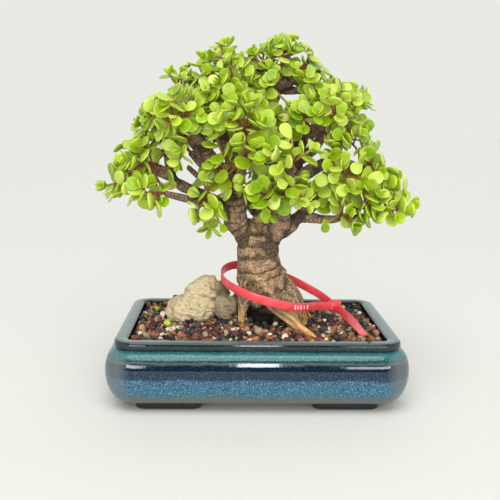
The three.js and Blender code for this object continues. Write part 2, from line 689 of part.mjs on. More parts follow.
function makeStrap() {

	const smooth = ( points, steps ) => {

		return Array.from( { length: steps + 1 }, ( _, k ) => along( points, k / steps ) );

	};

	const ring = smooth( [ ...strapLoop, strapLoop[ 0 ] ], 21 ).slice( 0, - 1 );
	const loop = solidFrom( strapSolid( ring, () => [ 0, 0, 1 ], true ) );
	const lie = ( share ) => [ - Math.min( 1, 1.4 * share ), 0, 1 - Math.min( 1, 1.4 * share ) ];
	const tail = solidFrom( strapSolid( smooth( strapTail, 8 ), lie, false ) );
	const head = new THREE.BoxGeometry( ...headSize );
	head.rotateZ( THREE.MathUtils.degToRad( 38 ) );
	head.translate( ...strapTail[ 0 ] );
	return wasm.Manifold.union( [ loop, tail, solidFrom( head ) ] );

}

// Foliage rule. A shoot is a bent line of points with a radius; leaves stand on it in crossed pairs.
function bentLine( from, bend, to, steps, thick ) {

	return Array.from( { length: steps + 1 }, ( _, k ) => {

		const t = k / steps;
		const place = add( add( scaled( from, ( 1 - t ) ** 2 ), bend, 2 * t * ( 1 - t ) ), to, t * t );
		return [ ...place, thick * ( 1 - t ) + shootTip * t ];

	} );

}

function seatOn( limb, share ) {

	const points = limbs[ limb ];
	const centre = along( points, share );
	const before = along( points, share - 0.02 );
	const after = along( points, share + 0.02 );
	const way = unit( add( after, before, - 1 ).slice( 0, 3 ) );
	return { centre: centre.slice( 0, 3 ), radius: centre[ 3 ], way };

}

function growShoots( spray, number ) {

	const [ limb, share, size, ...tips ] = spray;
	const { centre, radius, way } = seatOn( limb, share );
	const shoots = [];
	tips.forEach( ( tip, order ) => {

		const reach = add( tip, centre, - 1 );
		let leave = unit( add( reach, way, - dot( reach, way ) ) );
		let start = add( centre, leave, 0.5 * radius );
		if ( share === 1 ) {

			leave = unit( add( unit( reach ), way, 1.2 ) );
			start = centre;

		}

		if ( order > 0 ) {

			const main = shoots[ 0 ].line;
			start = main[ 1 ].slice( 0, 3 );
			leave = unit( add( main[ 2 ], main[ 0 ], - 1 ).slice( 0, 3 ) );

		}

		const bend = add( add( start, leave, 0.35 * apart( start, tip ) ), [ 0, 0, 1 ], 1.5 );
		const thick = order > 0 ? 0.8 * shootBase : shootBase;
		const line = bentLine( start, bend, tip, 3, thick );
		shoots.push( { line, size, number, twig: order, turn: dice( number, order ) } );

	} );
	const main = shoots[ 0 ];
	const from = main.line[ 2 ].slice( 0, 3 );
	const ahead = unit( add( main.line[ 3 ], main.line[ 1 ], - 1 ).slice( 0, 3 ) );
	const across = unit( cross( ahead, [ 0.1, 0, 1 ] ) );
	const angle = 2 * Math.PI * dice( number, 9 );
	const aside = add( scaled( across, Math.cos( angle ) ), cross( ahead, across ), Math.sin( angle ) );
	const length = 11 + 4 * dice( number, 10 );
	const side = unit( add( add( scaled( aside, 0.8 ), ahead, 0.6 ), [ 0, 0, 1 ], 0.2 ) );
	const end = add( from, side, length );
	const bend = add( from, side, length / 2 );
	const line = bentLine( from, bend, end, 2, 0.7 * shootBase );
	shoots.push( { line, size, number, twig: sideTwig, turn: dice( number, 11 ) } );
	return shoots;

}

// Places for the pairs, counted back from the tip; the leaf sizes go with them.
const pairSizes = [ 0.8, 0.95, 1.05, 1.1, 1.1, 1.1 ];

// A shoot's own axes where it runs along `ahead`, kept from turning along its length.
function shootAxes( { line }, ahead ) {

	const chord = unit( add( line[ line.length - 1 ], line[ 0 ], - 1 ).slice( 0, 3 ) );
	const wish = unit( cross( chord, [ 0.1, 0, 1 ] ) );
	const across = unit( add( wish, ahead, - dot( wish, ahead ) ) );
	return { ahead, across, other: cross( ahead, across ) };

}

// The place and the own axes of a shoot's pair, or nothing where the shoot is too short for it.
function pairSeat( shoot, pair ) {

	const { line } = shoot;
	const lengths = line.slice( 1 ).map( ( point, k ) => apart( point, line[ k ] ) );
	const whole = lengths.reduce( ( sum, value ) => sum + value, 0 );
	let left = whole - pair * pairSpacing - 1.5;
	if ( left < 4 ) return null;
	let k = 0;
	while ( left > lengths[ k ] && k < lengths.length - 1 ) left -= lengths[ k ++ ];
	const place = add( line[ k ], add( line[ k + 1 ], line[ k ], - 1 ), left / lengths[ k ] );
	const ahead = unit( add( line[ k + 1 ], line[ k ], - 1 ).slice( 0, 3 ) );
	return { place, ...shootAxes( shoot, ahead ) };

}

// A direction round a seat: `quarter` counts the shoot's four flat sides, and may hold a part turn.
function aroundSeat( { across, other }, turn, quarter ) {

	const angle = 2 * Math.PI * turn + quarter * Math.PI / 2;
	return add( scaled( across, Math.cos( angle ) ), other, Math.sin( angle ) );

}

function growLeaves( shoot, pairs ) {

	const { size, number, twig, turn } = shoot;
	const leaves = [];
	for ( const pair of pairs ) {

		const seat = pairSeat( shoot, pair );
		if ( ! seat ) continue;
		for ( const hand of [ 0, 1 ] ) {

			const quarter = pair % 2 + 2 * hand;
			const sway = 0.3 * ( dice( number, twig, pair, hand, 1 ) - 0.5 );
			const aside = aroundSeat( seat, turn, quarter + sway );
			const lift = ( pair === 0 ? 0.8 : 0.5 ) + 0.4 * ( dice( number, twig, pair, hand, 2 ) - 0.5 );
			const vary = 0.9 + 0.25 * dice( number, twig, pair, hand, 3 );
			const length = leafLength * size * pairSizes[ pair ] * vary;
			const root = seat.place.slice( 0, 3 );
			leaves.push( { root, ahead: seat.ahead, aside, lift, length, number, twig, pair, quarter } );

		}

	}

	return leaves;

}

// A leaf's own axes: `u` out along the blade, `n` out of its upper face, `v` across it.
function leafFrame( leaf, lift ) {

	const u = unit( add( scaled( leaf.aside, Math.cos( lift ) ), leaf.ahead, Math.sin( lift ) ) );
	const light = add( leaf.ahead, [ 0, 0, 0.35 ] );
	const n = unit( add( light, u, - dot( light, u ) ) );
	return { ...leaf, u, n, v: cross( n, u ), centre: add( leaf.root, u, 0.55 * leaf.length ) };

}

function leafPoints( leaf ) {

	const points = [];
	for ( const [ share, width ] of [ [ 0.22, 0.15 ], [ 0.45, 0.36 ], [ 0.7, 0.4 ], [ 0.9, 0.25 ] ] ) {

		for ( const side of [ - 1, 0, 1 ] ) {

			points.push( add( add( leaf.root, leaf.u, share * leaf.length ), leaf.v, side * width * leaf.length ) );

		}

	}

	points.push( add( leaf.root, leaf.u, leaf.length ) );
	return points;

}

// Whether a point, with its own radius, comes too near a leaf's blade.
function nearBlade( point, radius, leaf ) {

	const away = add( point, leaf.centre, - 1 );
	const high = Math.abs( dot( away, leaf.n ) );
	if ( high > leafHalfThick * leaf.length + radius ) return false;
	const far = dot( away, leaf.u ) / ( 0.46 * leaf.length + radius );
	const wide = dot( away, leaf.v ) / ( leafHalfWidth * leaf.length + radius );
	return far * far + wide * wide < 1;

}

function woodBalls() {

	const balls = [];
	for ( const name of Object.keys( limbs ) ) {

		const points = limbs[ name ];
		const steps = 8 * ( points.length - 1 );
		for ( let k = 0; k <= steps; k ++ ) balls.push( along( points, k / steps ) );

	}

	return balls.filter( ( ball ) => ball[ 2 ] > 90 );

}

function stemBalls( shoots ) {

	const balls = [];
	for ( const shoot of shoots ) {

		const steps = 3 * ( shoot.line.length - 1 );
		for ( let k = 0; k <= steps; k ++ ) {

			balls.push( { place: along( shoot.line, k / steps ), number: shoot.number, twig: shoot.twig } );

		}

	}

	return balls;

}

const leafClearance = 1.2;

function leafFits( leaf, wood, stems, placed ) {

	const points = leafPoints( leaf );
	for ( const ball of wood ) {

		if ( apart( ball, leaf.centre ) > ball[ 3 ] + leaf.length ) continue;
		if ( points.some( ( point ) => apart( point, ball ) < ball[ 3 ] + 1.06 * leafClearance ) ) return false;

	}

	for ( const { place, number, twig } of stems ) {

		if ( number === leaf.number && twig === leaf.twig ) continue;
		if ( apart( place, leaf.root ) < 2.5 && number === leaf.number ) continue;
		if ( apart( place, leaf.centre ) > leaf.length ) continue;
		if ( nearBlade( place, place[ 3 ] + 0.4, leaf ) ) return false;

	}

	for ( const near of placed ) {

		if ( apart( near.centre, leaf.centre ) > 0.6 * ( near.length + leaf.length ) + 2 ) continue;
		if ( points.some( ( point ) => nearBlade( point, leafClearance, near ) ) ) return false;
		if ( near.points.some( ( point ) => nearBlade( point, leafClearance, leaf ) ) ) return false;

	}

	leaf.points = points;
	return true;

}

function growFoliage() {

	const wood = woodBalls();
	const shoots = [];
	sprays.forEach( ( spray, number ) => {

		for ( const shoot of growShoots( spray, number ) ) {

			const mine = stemBalls( [ shoot ] );
			const others = stemBalls( shoots.filter( ( other ) => other.number !== number ) );
			const touches = mine.some( ( { place } ) => others.some(
				( other ) => apart( place, other.place ) < place[ 3 ] + other.place[ 3 ] + 0.5 )
				|| wood.some( ( ball ) => apart( place, ball ) < place[ 3 ] + 1.06 * ball[ 3 ] + 0.5 ) );
			if ( shoot.twig !== sideTwig || ! touches ) shoots.push( shoot );

		}

	} );
	const stems = stemBalls( shoots );
	const placed = [];
	for ( const shoot of shoots ) {

		const pairs = shoot.twig === 0 ? [ 0, 2, 4 ] : [ 0, 1 ];
		for ( const leaf of growLeaves( shoot, shoot.twig === sideTwig ? [ 0 ] : pairs ) ) {

			for ( const change of [ 0, - 0.35, 0.25, - 0.7 ] ) {

				const blade = leafFrame( leaf, leaf.lift + change );
				if ( ! leafFits( blade, wood, stems, placed ) ) continue;
				placed.push( blade );
				break;

			}

		}

	}

	// A side shoot that found no room for its two leaves is left out.
	const grown = shoots.map( ( shoot ) => {

		const { number, twig } = shoot;
		return { shoot, leaves: placed.filter( ( leaf ) => leaf.number === number && leaf.twig === twig ) };

	} );
	return grown.filter( ( { shoot, leaves } ) => shoot.twig !== sideTwig || leaves.length === 2 );

}

// A leafy shoot in one skin: a four-sided stem, and leaves that rise out of its sides at each pair.
function shootSolid( shoot, leaves ) {

	const { line, turn } = shoot;
	const vertices = [];
	const faces = [];
	const ring = ( seat, shift, radius ) => {

		const centre = add( seat.place.slice( 0, 3 ), seat.ahead, shift );
		for ( let side = 0; side < 4; side ++ ) {

			vertices.push( add( centre, aroundSeat( seat, turn, side - 0.5 ), radius ) );

		}

	};

	const startAhead = unit( add( line[ 1 ], line[ 0 ], - 1 ).slice( 0, 3 ) );
	const pairs = [ ...new Set( leaves.map( ( leaf ) => leaf.pair ) ) ].sort( ( a, b ) => b - a );
	const levels = [ 'base' ];
	ring( { place: line[ 0 ], ...shootAxes( shoot, startAhead ) }, 0, line[ 0 ][ 3 ] );
	for ( const pair of pairs ) {

		const seat = pairSeat( shoot, pair );
		const radius = seat.place[ 3 ];
		ring( seat, - 0.8 * radius, radius );
		ring( seat, 0.8 * radius, radius );
		levels.push( 'free', pair );

	}

	const last = line[ line.length - 1 ];
	const endAhead = unit( add( last, line[ line.length - 2 ], - 1 ).slice( 0, 3 ) );
	if ( pairs.length === 0 ) {

		ring( { place: last, ...shootAxes( shoot, endAhead ) }, 0, last[ 3 ] );
		levels.push( 'free' );

	}

	for ( let side = 0; side < 4; side ++ ) {

		const next = ( side + 1 ) % 4;
		for ( let k = 1; k < levels.length; k ++ ) {

			const low = 4 * ( k - 1 );
			const high = 4 * k;
			const quad = [ low + side, low + next, high + next, high + side ];
			const leaf = leaves.find( ( one ) => one.pair === levels[ k ] && one.quarter === side );
			if ( leaf ) leafOut( vertices, faces, quad, leaf );
			else faces.push( quad[ 0 ], quad[ 1 ], quad[ 2 ], quad[ 0 ], quad[ 2 ], quad[ 3 ] );

		}

	}

	const basePole = vertices.push( line[ 0 ].slice( 0, 3 ) ) - 1;
	const tipPole = vertices.push( add( last.slice( 0, 3 ), endAhead, 0.5 ) ) - 1;
	const top = 4 * ( levels.length - 1 );
	for ( let side = 0; side < 4; side ++ ) {

		const next = ( side + 1 ) % 4;
		faces.push( basePole, next, side );
		faces.push( tipPole, top + side, top + next );

	}

	const geometry = new THREE.BufferGeometry();
	geometry.setAttribute( 'position', new THREE.Float32BufferAttribute( vertices.flat(), 3 ) );
	geometry.setIndex( faces );
	return solidFrom( geometry );

}

// Opens one flat side of the stem, `quad`, into a thick blade with a low crown above and below.
function leafOut( vertices, faces, quad, { root, u, v, n, length } ) {

	const at = ( far, wide, high ) => {

		const place = add( add( add( root, u, far * length ), v, wide * length ), n, high * length );
		return vertices.push( place ) - 1;

	};

	const below = at( 0.56, 0, - leafHalfThick );
	const right = at( 0.54, 0.4, 0.02 );
	const above = at( 0.56, 0, leafHalfThick );
	const left = at( 0.54, - 0.4, 0.02 );
	const farRight = at( 0.96, 0.2, 0.03 );
	const farLeft = at( 0.96, - 0.2, 0.03 );
	const crown = [ below, right, above, left ];
	for ( let k = 0; k < 4; k ++ ) {

		const next = ( k + 1 ) % 4;
		faces.push( quad[ k ], quad[ next ], crown[ k ] );
		faces.push( quad[ next ], crown[ next ], crown[ k ] );

	}

	faces.push( above, farRight, right, above, farLeft, farRight, above, left, farLeft );
	faces.push( below, right, farRight, below, farRight, farLeft, below, farLeft, left );

}

function makeFoliage() {

	const grown = growFoliage();
	const wood = makeWood( contactGap );
	return sprays.map( ( _, number ) => {

		const mine = grown.filter( ( { shoot } ) => shoot.number === number );
		const spray = wasm.Manifold.union( mine.map( ( { shoot, leaves } ) => shootSolid( shoot, leaves ) ) );
		return spray.subtract( wood );

	} );

}

const bonsai = new THREE.Group();
bonsai.add( namedMesh( 'pot', geometryFrom( makePot() ), 'glaze' ) );
bonsai.add( namedMesh( 'drain_screen_left', geometryFrom( drainScreen( - 1 ) ), 'mesh' ) );
bonsai.add( namedMesh( 'drain_screen_right', geometryFrom( drainScreen( 1 ) ), 'mesh' ) );
bonsai.add( namedMesh( 'soil', geometryFrom( makeSoil() ), 'soil' ) );
bonsai.add( namedMesh( 'wood', geometryFrom( makeWood() ), 'bark' ) );
bonsai.add( namedMesh( 'rock', geometryFrom( makeRock() ), 'rock' ) );
bonsai.add( namedMesh( 'tag_strap', geometryFrom( makeStrap() ), 'strap' ) );
makeFoliage().forEach( ( spray, number ) => {

	const name = `spray_${ String( number + 1 ).padStart( 2, '0' ) }`;
	bonsai.add( namedMesh( name, geometryFrom( spray ), 'leaf' ) );

} );

// The origin is the middle of the whole plant's box, on the surface it stands on.
const box = new THREE.Box3().setFromObject( bonsai );
const middle = box.getCenter( new THREE.Vector3() );
bonsai.position.set( - middle.x, - middle.y, 0 );

export default bonsai;
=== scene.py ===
import math

import bmesh
import bpy
import numpy as np
from mathutils import Matrix, Vector, noise


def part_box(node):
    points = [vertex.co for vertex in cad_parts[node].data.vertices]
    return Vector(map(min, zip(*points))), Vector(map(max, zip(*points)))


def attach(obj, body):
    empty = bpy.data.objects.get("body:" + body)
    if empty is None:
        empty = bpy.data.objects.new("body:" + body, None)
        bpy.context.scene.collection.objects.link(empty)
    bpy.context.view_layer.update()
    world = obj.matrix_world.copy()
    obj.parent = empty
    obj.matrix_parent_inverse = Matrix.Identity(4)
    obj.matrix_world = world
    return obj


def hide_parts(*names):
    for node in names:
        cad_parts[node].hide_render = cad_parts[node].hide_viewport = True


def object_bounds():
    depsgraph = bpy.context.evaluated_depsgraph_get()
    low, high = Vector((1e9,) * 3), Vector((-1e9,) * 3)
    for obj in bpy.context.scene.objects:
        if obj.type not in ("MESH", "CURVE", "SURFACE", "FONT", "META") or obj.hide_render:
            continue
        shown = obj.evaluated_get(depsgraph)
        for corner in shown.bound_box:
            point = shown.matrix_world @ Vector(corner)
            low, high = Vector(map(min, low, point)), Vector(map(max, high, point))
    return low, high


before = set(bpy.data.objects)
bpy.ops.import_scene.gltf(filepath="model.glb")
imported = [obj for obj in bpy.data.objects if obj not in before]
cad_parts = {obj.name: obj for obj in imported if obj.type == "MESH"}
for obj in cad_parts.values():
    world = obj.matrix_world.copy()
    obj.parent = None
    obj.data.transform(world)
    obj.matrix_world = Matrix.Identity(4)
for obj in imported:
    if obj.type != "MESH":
        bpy.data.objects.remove(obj)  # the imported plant: pot, screens, filling, wood, rock, strap and sprays
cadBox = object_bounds()

# Everything is modelled in millimetres about the pot's middle, then set down in the frame in metres.
potLow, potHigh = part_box("pot")
potMiddle = ((potLow[0] + potHigh[0]) / 2, (potLow[1] + potHigh[1]) / 2)
perMetre = 1000
near = 0.001


# Hands: selecting, drawing and setting down

def letGo():
    if bpy.context.mode != "OBJECT":
        bpy.ops.object.mode_set(mode="OBJECT")
    bpy.ops.object.select_all(action="DESELECT")


def takeHold(*pieces):
    letGo()
    for piece in pieces:
        piece.select_set(True)
    bpy.context.view_layer.objects.active = pieces[0]
    return pieces[0]


def pickOut(kind, test):
    # selects the points, edges or faces whose points all pass the test
    bpy.ops.mesh.select_mode(type=kind)
    bpy.ops.mesh.select_all(action="DESELECT")
    shape = bmesh.from_edit_mesh(bpy.context.edit_object.data)
    if kind == "VERT":
        for point in shape.verts:
            point.select_set(test(point.co))
    else:
        for part in shape.edges if kind == "EDGE" else shape.faces:
            part.select_set(all(test(point.co) for point in part.verts))
    bmesh.update_edit_mesh(bpy.context.edit_object.data)


def mergeClose():
    bpy.ops.mesh.select_all(action="SELECT")
    bpy.ops.mesh.remove_doubles(threshold=near)


def turnFacesOut():
    bpy.ops.object.mode_set(mode="EDIT")
    bpy.ops.mesh.select_all(action="SELECT")
    bpy.ops.mesh.normals_make_consistent(inside=False)
    letGo()


def growEdges(step):
    bpy.ops.mesh.extrude_region_move(TRANSFORM_OT_translate={"value": step})


def addPlainCube(place=(0, 0, 0), size=(1, 1, 1)):
    letGo()
    bpy.ops.mesh.primitive_cube_add(size=1, location=place, scale=size)
    return bpy.context.object


def remeshed(piece, voxel, calming):
    applyModifier(piece, "REMESH", mode="VOXEL", voxel_size=voxel, adaptivity=0)
    applyModifier(piece, "SMOOTH", factor=0.5, iterations=calming)


def applyModifier(piece, kind, **settings):
    takeHold(piece)
    modifier = piece.modifiers.new(kind.lower(), kind)
    for name, value in settings.items():
        setattr(modifier, name, value)
    bpy.ops.object.modifier_apply(modifier=modifier.name)


def setDown(piece, name, finishes, replaced=(), smoothAngle=None):
    takeHold(piece)
    piece.name = name
    piece.data.name = name
    piece.location = (potMiddle[0], potMiddle[1], 0)
    piece.scale = [1 / perMetre] * 3
    bpy.ops.object.transform_apply(location=True, rotation=True, scale=True)
    if finishes:
        piece.data.materials.clear()
        for finish in finishes:
            piece.data.materials.append(finish)
    if smoothAngle is not None:
        bpy.ops.object.shade_smooth_by_angle(angle=math.radians(smoothAngle))
    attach(piece, "root")
    if replaced:
        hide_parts(*replaced)
    return piece


def meshFrom(name, points, faces):
    mesh = bpy.data.meshes.new(name)
    mesh.from_pydata([tuple(point) for point in points], [], [tuple(face) for face in faces])
    mesh.update()
    piece = bpy.data.objects.new(name, mesh)
    bpy.context.scene.collection.objects.link(piece)
    return piece


def readPoints(piece, what="co"):
    # the places of a mesh's points, or with "normal" the ways they face
    values = np.empty(3 * len(piece.data.vertices))
    piece.data.vertices.foreach_get(what, values)
    return values.reshape(-1, 3)


def writePoints(piece, places):
    piece.data.vertices.foreach_set("co", places.ravel())
    piece.data.update()


def writeShare(piece, name, values):
    if name in piece.data.attributes:
        piece.data.attributes.remove(piece.data.attributes[name])
    attribute = piece.data.attributes.new(name, "FLOAT", "POINT")
    attribute.data.foreach_set("value", np.asarray(values, dtype=np.float32))


# Colours and shaders

def linear(hexText):
    parts = [int(hexText[k:k + 2], 16) / 255 for k in (1, 3, 5)]
    steps = [part / 12.92 if part <= 0.04045 else ((part + 0.055) / 1.055) ** 2.4 for part in parts]
    return (*steps, 1)


# the output that other nodes read, where it isn't a node's first one
mainOutput = {"ShaderNodeMix": 2, "ShaderNodeTexCoord": "Object", "ShaderNodeAttribute": "Fac"}
usualSettings = {"Mix": {"data_type": "RGBA"}}


def addNode(tree, kind, feeds=None, stops=(), **settings):
    # `feeds` gives each input a value, another node to read, or one of its outputs. `stops` are a ramp's
    # places, each with a hex colour or a grey value.
    node = tree.nodes.new("ShaderNode" + kind)
    for name, value in {**usualSettings.get(kind, {}), **settings}.items():
        setattr(node, name, value)
    if stops:
        marks = node.color_ramp.elements
        while len(marks) < len(stops):
            marks.new(0.5)
        for mark, (place, colour) in zip(marks, stops):
            mark.position = place
            mark.color = linear(colour) if isinstance(colour, str) else (colour, colour, colour, 1)
    for key, value in (feeds or {}).items():
        if isinstance(value, bpy.types.Node):
            value = value.outputs[mainOutput.get(value.bl_idname, 0)]
        if isinstance(value, bpy.types.NodeSocket):
            tree.links.new(value, node.inputs[key])
        else:
            node.inputs[key].default_value = value
    return node


def blankFinish(name, **uniform):
    finish = bpy.data.materials.new(name)
    finish.use_nodes = True
    tree = finish.node_tree
    tree.nodes.clear()
    addNode(tree, "OutputMaterial", {"Surface": addNode(tree, "BsdfPrincipled", uniform)})
    return finish, tree


def grainedFinish(name, uniform, pattern, stops, strength=0, distance=0):
    # one fine noise gives both the shade and, where it has a strength, the relief
    finish, tree = blankFinish(name, **uniform)
    place = addNode(tree, "TexCoord")
    grain = addNode(tree, "TexNoise", {"Vector": place, **pattern})
    shade = addNode(tree, "ValToRGB", {"Fac": grain}, stops)
    return covered(finish, shade, grain if strength else None, strength, distance)


def covered(finish, colour, height=None, strength=0, distance=0):
    # gives a finish its colour and, from a height, its relief
    tree = finish.node_tree
    shader = tree.nodes["Principled BSDF"]
    tree.links.new(colour.outputs[mainOutput.get(colour.bl_idname, 0)], shader.inputs["Base Color"])
    if height:
        bump = addNode(tree, "Bump", {"Height": height, "Strength": strength, "Distance": distance})
        tree.links.new(bump.outputs["Normal"], shader.inputs["Normal"])
    return finish


# Pot: a glazed stoneware tray

tray = {
    "arcCentre": (80, -55),
    "arcSteps": 12,
    "lipCorner": 15,
    "bulge": (6.5, 26),  # how far out of the lip's line, and how high
    "under": (13, 20.5),  # the round below the bulge: how far in, how far down
    "neck": (7, 15.4),  # the round above it: how far in, how far up
    "lip": [(-0.8, 41.7), (-0.5, 42.1), (0.0, 42.7), (0.2, 43.6), (0.2, 45.2), (0.0, 46.3), (-0.4, 47.1),
            (-1.0, 47.6), (-1.9, 47.9), (-3.4, 48), (-6.6, 47.9), (-8.1, 47.5), (-8.8, 46.7)],
    "inside": [(-8.6, 43), (-7.4, 40.5), (-5, 37.5), (-3, 34.5), (-1.4, 30.5), (-0.7, 26), (-1.4, 21), (-3, 17),
               (-5.6, 14.2), (-10, 12)],
    "floor": 12,
    # each foot, and the steps of its rounded sole: how far down and how much shorter
    "foot": {"size": (46, 26, 6.2), "middle": (59, 51, 4.9), "corner": 6, "inset": 1.6,
             "sole": ((0.7, 1.2), (0.6, 2.2), (0.5, 4.4))},
    "drain": {"radius": 8, "x": 45},
}


def wallArc():
    # the bulged wall's section, as pairs of out and height, from the underside up to the lip
    out, height = tray["bulge"]
    points = []
    for step in range(11):
        turn = math.radians(90 - 9 * step)
        points.append((out - tray["under"][0] * (1 - math.cos(turn)),
                       height - tray["under"][1] * math.sin(turn)))
    for step in range(1, 9):
        turn = math.radians(11.25 * step)
        points.append((out - tray["neck"][0] * (1 - math.cos(turn)), height + tray["neck"][1] * math.sin(turn)))
    return points


def drawLine(points):
    letGo()
    bpy.ops.mesh.primitive_plane_add(size=1, location=(0, 0, 0))
    bpy.ops.object.mode_set(mode="EDIT")
    bpy.ops.mesh.select_mode(type="VERT")
    bpy.ops.mesh.merge(type="CENTER")
    bpy.ops.transform.translate(value=points[0])
    for before, after in zip(points, points[1:]):
        step = [b - a for a, b in zip(before, after)]
        bpy.ops.mesh.extrude_vertices_move(TRANSFORM_OT_translate={"value": step})
    return bpy.context.edit_object


def roundedTray(profile, arcSteps):
    # A section, as pairs of out and height, is spun round a corner, drawn out into straight walls and
    # mirrored. Its ends lie on the corner's own axis, so the floor closes with it.
    x, y = tray["arcCentre"]
    piece = drawLine([(x + max(tray["lipCorner"] + out, 0), y, z) for out, z in profile])
    bpy.ops.mesh.select_all(action="SELECT")
    bpy.ops.mesh.spin(steps=arcSteps, angle=math.pi / 2, center=(x, y, 0), axis=(0, 0, 1))
    mergeClose()
    pickOut("EDGE", lambda place: abs(place.y - y) < near and place.x > x - near)
    growEdges((0, -y, 0))
    pickOut("EDGE", lambda place: abs(place.x - x) < near and place.y < y + near)
    growEdges((-x, 0, 0))
    pickOut("EDGE", lambda place: abs(place.y - y) < near and place.x < x + near)
    growEdges((0, -y, 0))
    mergeClose()
    applyModifier(piece, "MIRROR", use_axis=(True, True, False), merge_threshold=near)
    bpy.ops.object.mode_set(mode="EDIT")
    mergeClose()
    turnFacesOut()
    return piece


def trayFeet():
    foot = tray["foot"]
    piece = addPlainCube()
    bpy.ops.object.mode_set(mode="EDIT")
    bpy.ops.transform.resize(value=foot["size"])
    bpy.ops.transform.translate(value=foot["middle"])
    pickOut("EDGE", lambda place: True)
    shape = bmesh.from_edit_mesh(piece.data)
    for edge in shape.edges:
        edge.select_set(abs(edge.verts[0].co.z - edge.verts[1].co.z) > 1)
    bmesh.update_edit_mesh(piece.data)
    bpy.ops.mesh.bevel(offset=foot["corner"], segments=6)
    ground = foot["middle"][2] - foot["size"][2] / 2
    pickOut("FACE", lambda place: place.z < ground + near)
    length, depth = foot["size"][:2]
    for drop, shrink in ((0, foot["inset"]), *foot["sole"]):
        if drop:
            growEdges((0, 0, -drop))
        bpy.ops.transform.resize(value=((length - shrink) / length, (depth - shrink) / depth, 1),
                                 center_override=(*foot["middle"][:2], ground))
    applyModifier(piece, "MIRROR", use_axis=(True, True, False), use_mirror_merge=False)
    turnFacesOut()
    return piece


def cutOrJoin(piece, tool, operation):
    applyModifier(piece, "BOOLEAN", object=tool, operation=operation, solver="EXACT")
    bpy.data.objects.remove(tool, do_unlink=True)


def glazedStoneware():
    # Reactive glaze over stoneware: it is thin and sage on the rim, pools teal in the neck, runs navy
    # round the belly and breaks into blue specks low down. The melt leaves it glassy.
    finish, tree = blankFinish("glazedStoneware", **{"IOR": 1.5, "Roughness": 0.06})
    place = addNode(tree, "TexCoord")
    ways = addNode(tree, "SeparateXYZ", {"Vector": place})
    height = ways.outputs["Z"]
    runs = addNode(tree, "TexNoise", {"Vector": place, "Scale": 60, "Detail": 3})  # 16 mm drifts
    calm = addNode(tree, "MapRange", {"Value": height, "From Min": 0.034, "From Max": 0.040, "To Min": 0.0042,
                                      "To Max": 0.0006})
    centred = addNode(tree, "Math", {0: runs, 1: -0.5})
    warped = addNode(tree, "Math", {0: centred, 1: calm, 2: height}, operation="MULTIPLY_ADD")
    share = addNode(tree, "Math", {0: warped, 1: 1 / 0.050}, operation="MULTIPLY")
    zones = addNode(tree, "ValToRGB", {"Fac": share}, [
        (0.0, "#131416"), (0.108, "#1A1B1E"), (0.120, "#605E5B"), (0.19, "#5B5C5A"), (0.25, "#48575F"),
        (0.29, "#2C5871"), (0.36, "#29536D"), (0.45, "#264B67"), (0.485, "#224462"), (0.505, "#08203A"),
        (0.60, "#06182E"), (0.665, "#051120"), (0.685, "#0A1722"), (0.70, "#3E4A47"), (0.722, "#445250"),
        (0.732, "#101C1E"), (0.75, "#1A474C"), (0.79, "#286664"), (0.83, "#1F5458"), (0.848, "#0A171B"),
        (0.875, "#101418"), (0.90, "#142425"), (0.944, "#0B1013"), (0.954, "#53645F"), (1.0, "#66776F")])
    # the specks are 0.3 mm in life, drawn near 0.8 mm so that they show
    grain = addNode(tree, "TexNoise", {"Vector": place, "Scale": 1150, "Detail": 2, "Roughness": 0.75})
    bright = addNode(tree, "ValToRGB", {"Fac": grain}, [(0.5, 0.0), (0.68, 1.0)])
    where = addNode(tree, "ValToRGB", {"Fac": share}, [
        (0.12, 0.05), (0.24, 0.35), (0.29, 0.8), (0.48, 0.75), (0.51, 0.2), (0.66, 0.12), (0.7, 0.12),
        (0.75, 0.42), (0.83, 0.5), (0.86, 0.12), (0.92, 0.12), (0.95, 0.08)])
    amount = addNode(tree, "Math", {0: bright, 1: where}, operation="MULTIPLY")
    specked = addNode(tree, "Mix", {"Factor": amount, 6: zones, 7: linear("#6C9FA4")})
    dark = addNode(tree, "ValToRGB", {"Fac": grain}, [(0.32, 1.0), (0.48, 0.0)])
    fleck = addNode(tree, "Math", {0: dark, 1: where}, operation="MULTIPLY")
    flecked = addNode(tree, "Mix", {"Factor": fleck, 6: specked, 7: linear("#0E2C4C")})
    # painted reflection: the belly's corners are greyed for the pale room that they mirror
    beyond = []
    for axis, middle, straight in zip("XY", potMiddle, tray["arcCentre"]):
        centred = addNode(tree, "Math", {0: ways.outputs[axis], 1: -middle})
        side = addNode(tree, "Math", {0: centred}, operation="ABSOLUTE")
        beyond.append(addNode(tree, "Math", {0: side, 1: -abs(straight) / perMetre}))
    corner = addNode(tree, "Math", {0: beyond[0], 1: beyond[1]}, operation="MINIMUM")
    thin = addNode(tree, "MapRange", {"Value": corner, "From Min": 0.003, "From Max": 0.011, "To Max": 0.6})
    below = addNode(tree, "MapRange", {"Value": height, "From Min": 0.041, "From Max": 0.037})
    paintedCornerSheen = addNode(tree, "Math", {0: thin, 1: below}, operation="MULTIPLY")
    cornerSheened = addNode(tree, "Mix", {"Factor": paintedCornerSheen, 6: flecked, 7: linear("#64686A")})
    skin = addNode(tree, "TexNoise", {"Vector": place, "Scale": 260, "Detail": 2})  # orange peel, 4 mm
    return covered(finish, cornerSheened, skin, 0.05, 0.0005)


def makeTray():
    profile = [(-15, 5.5), *wallArc(), *tray["lip"], *tray["inside"], (-15, tray["floor"])]
    pot = roundedTray(profile, tray["arcSteps"])
    cutOrJoin(pot, trayFeet(), "UNION")
    for side in (-1, 1):
        letGo()
        bpy.ops.mesh.primitive_cylinder_add(vertices=32, radius=tray["drain"]["radius"], depth=30,
                                            location=(side * tray["drain"]["x"], 0, 8))
        cutOrJoin(pot, bpy.context.object, "DIFFERENCE")
    setDown(pot, "tray_pot", [glazedStoneware()], ["pot"], 38)
    print("pot:", len(pot.data.polygons), "faces")


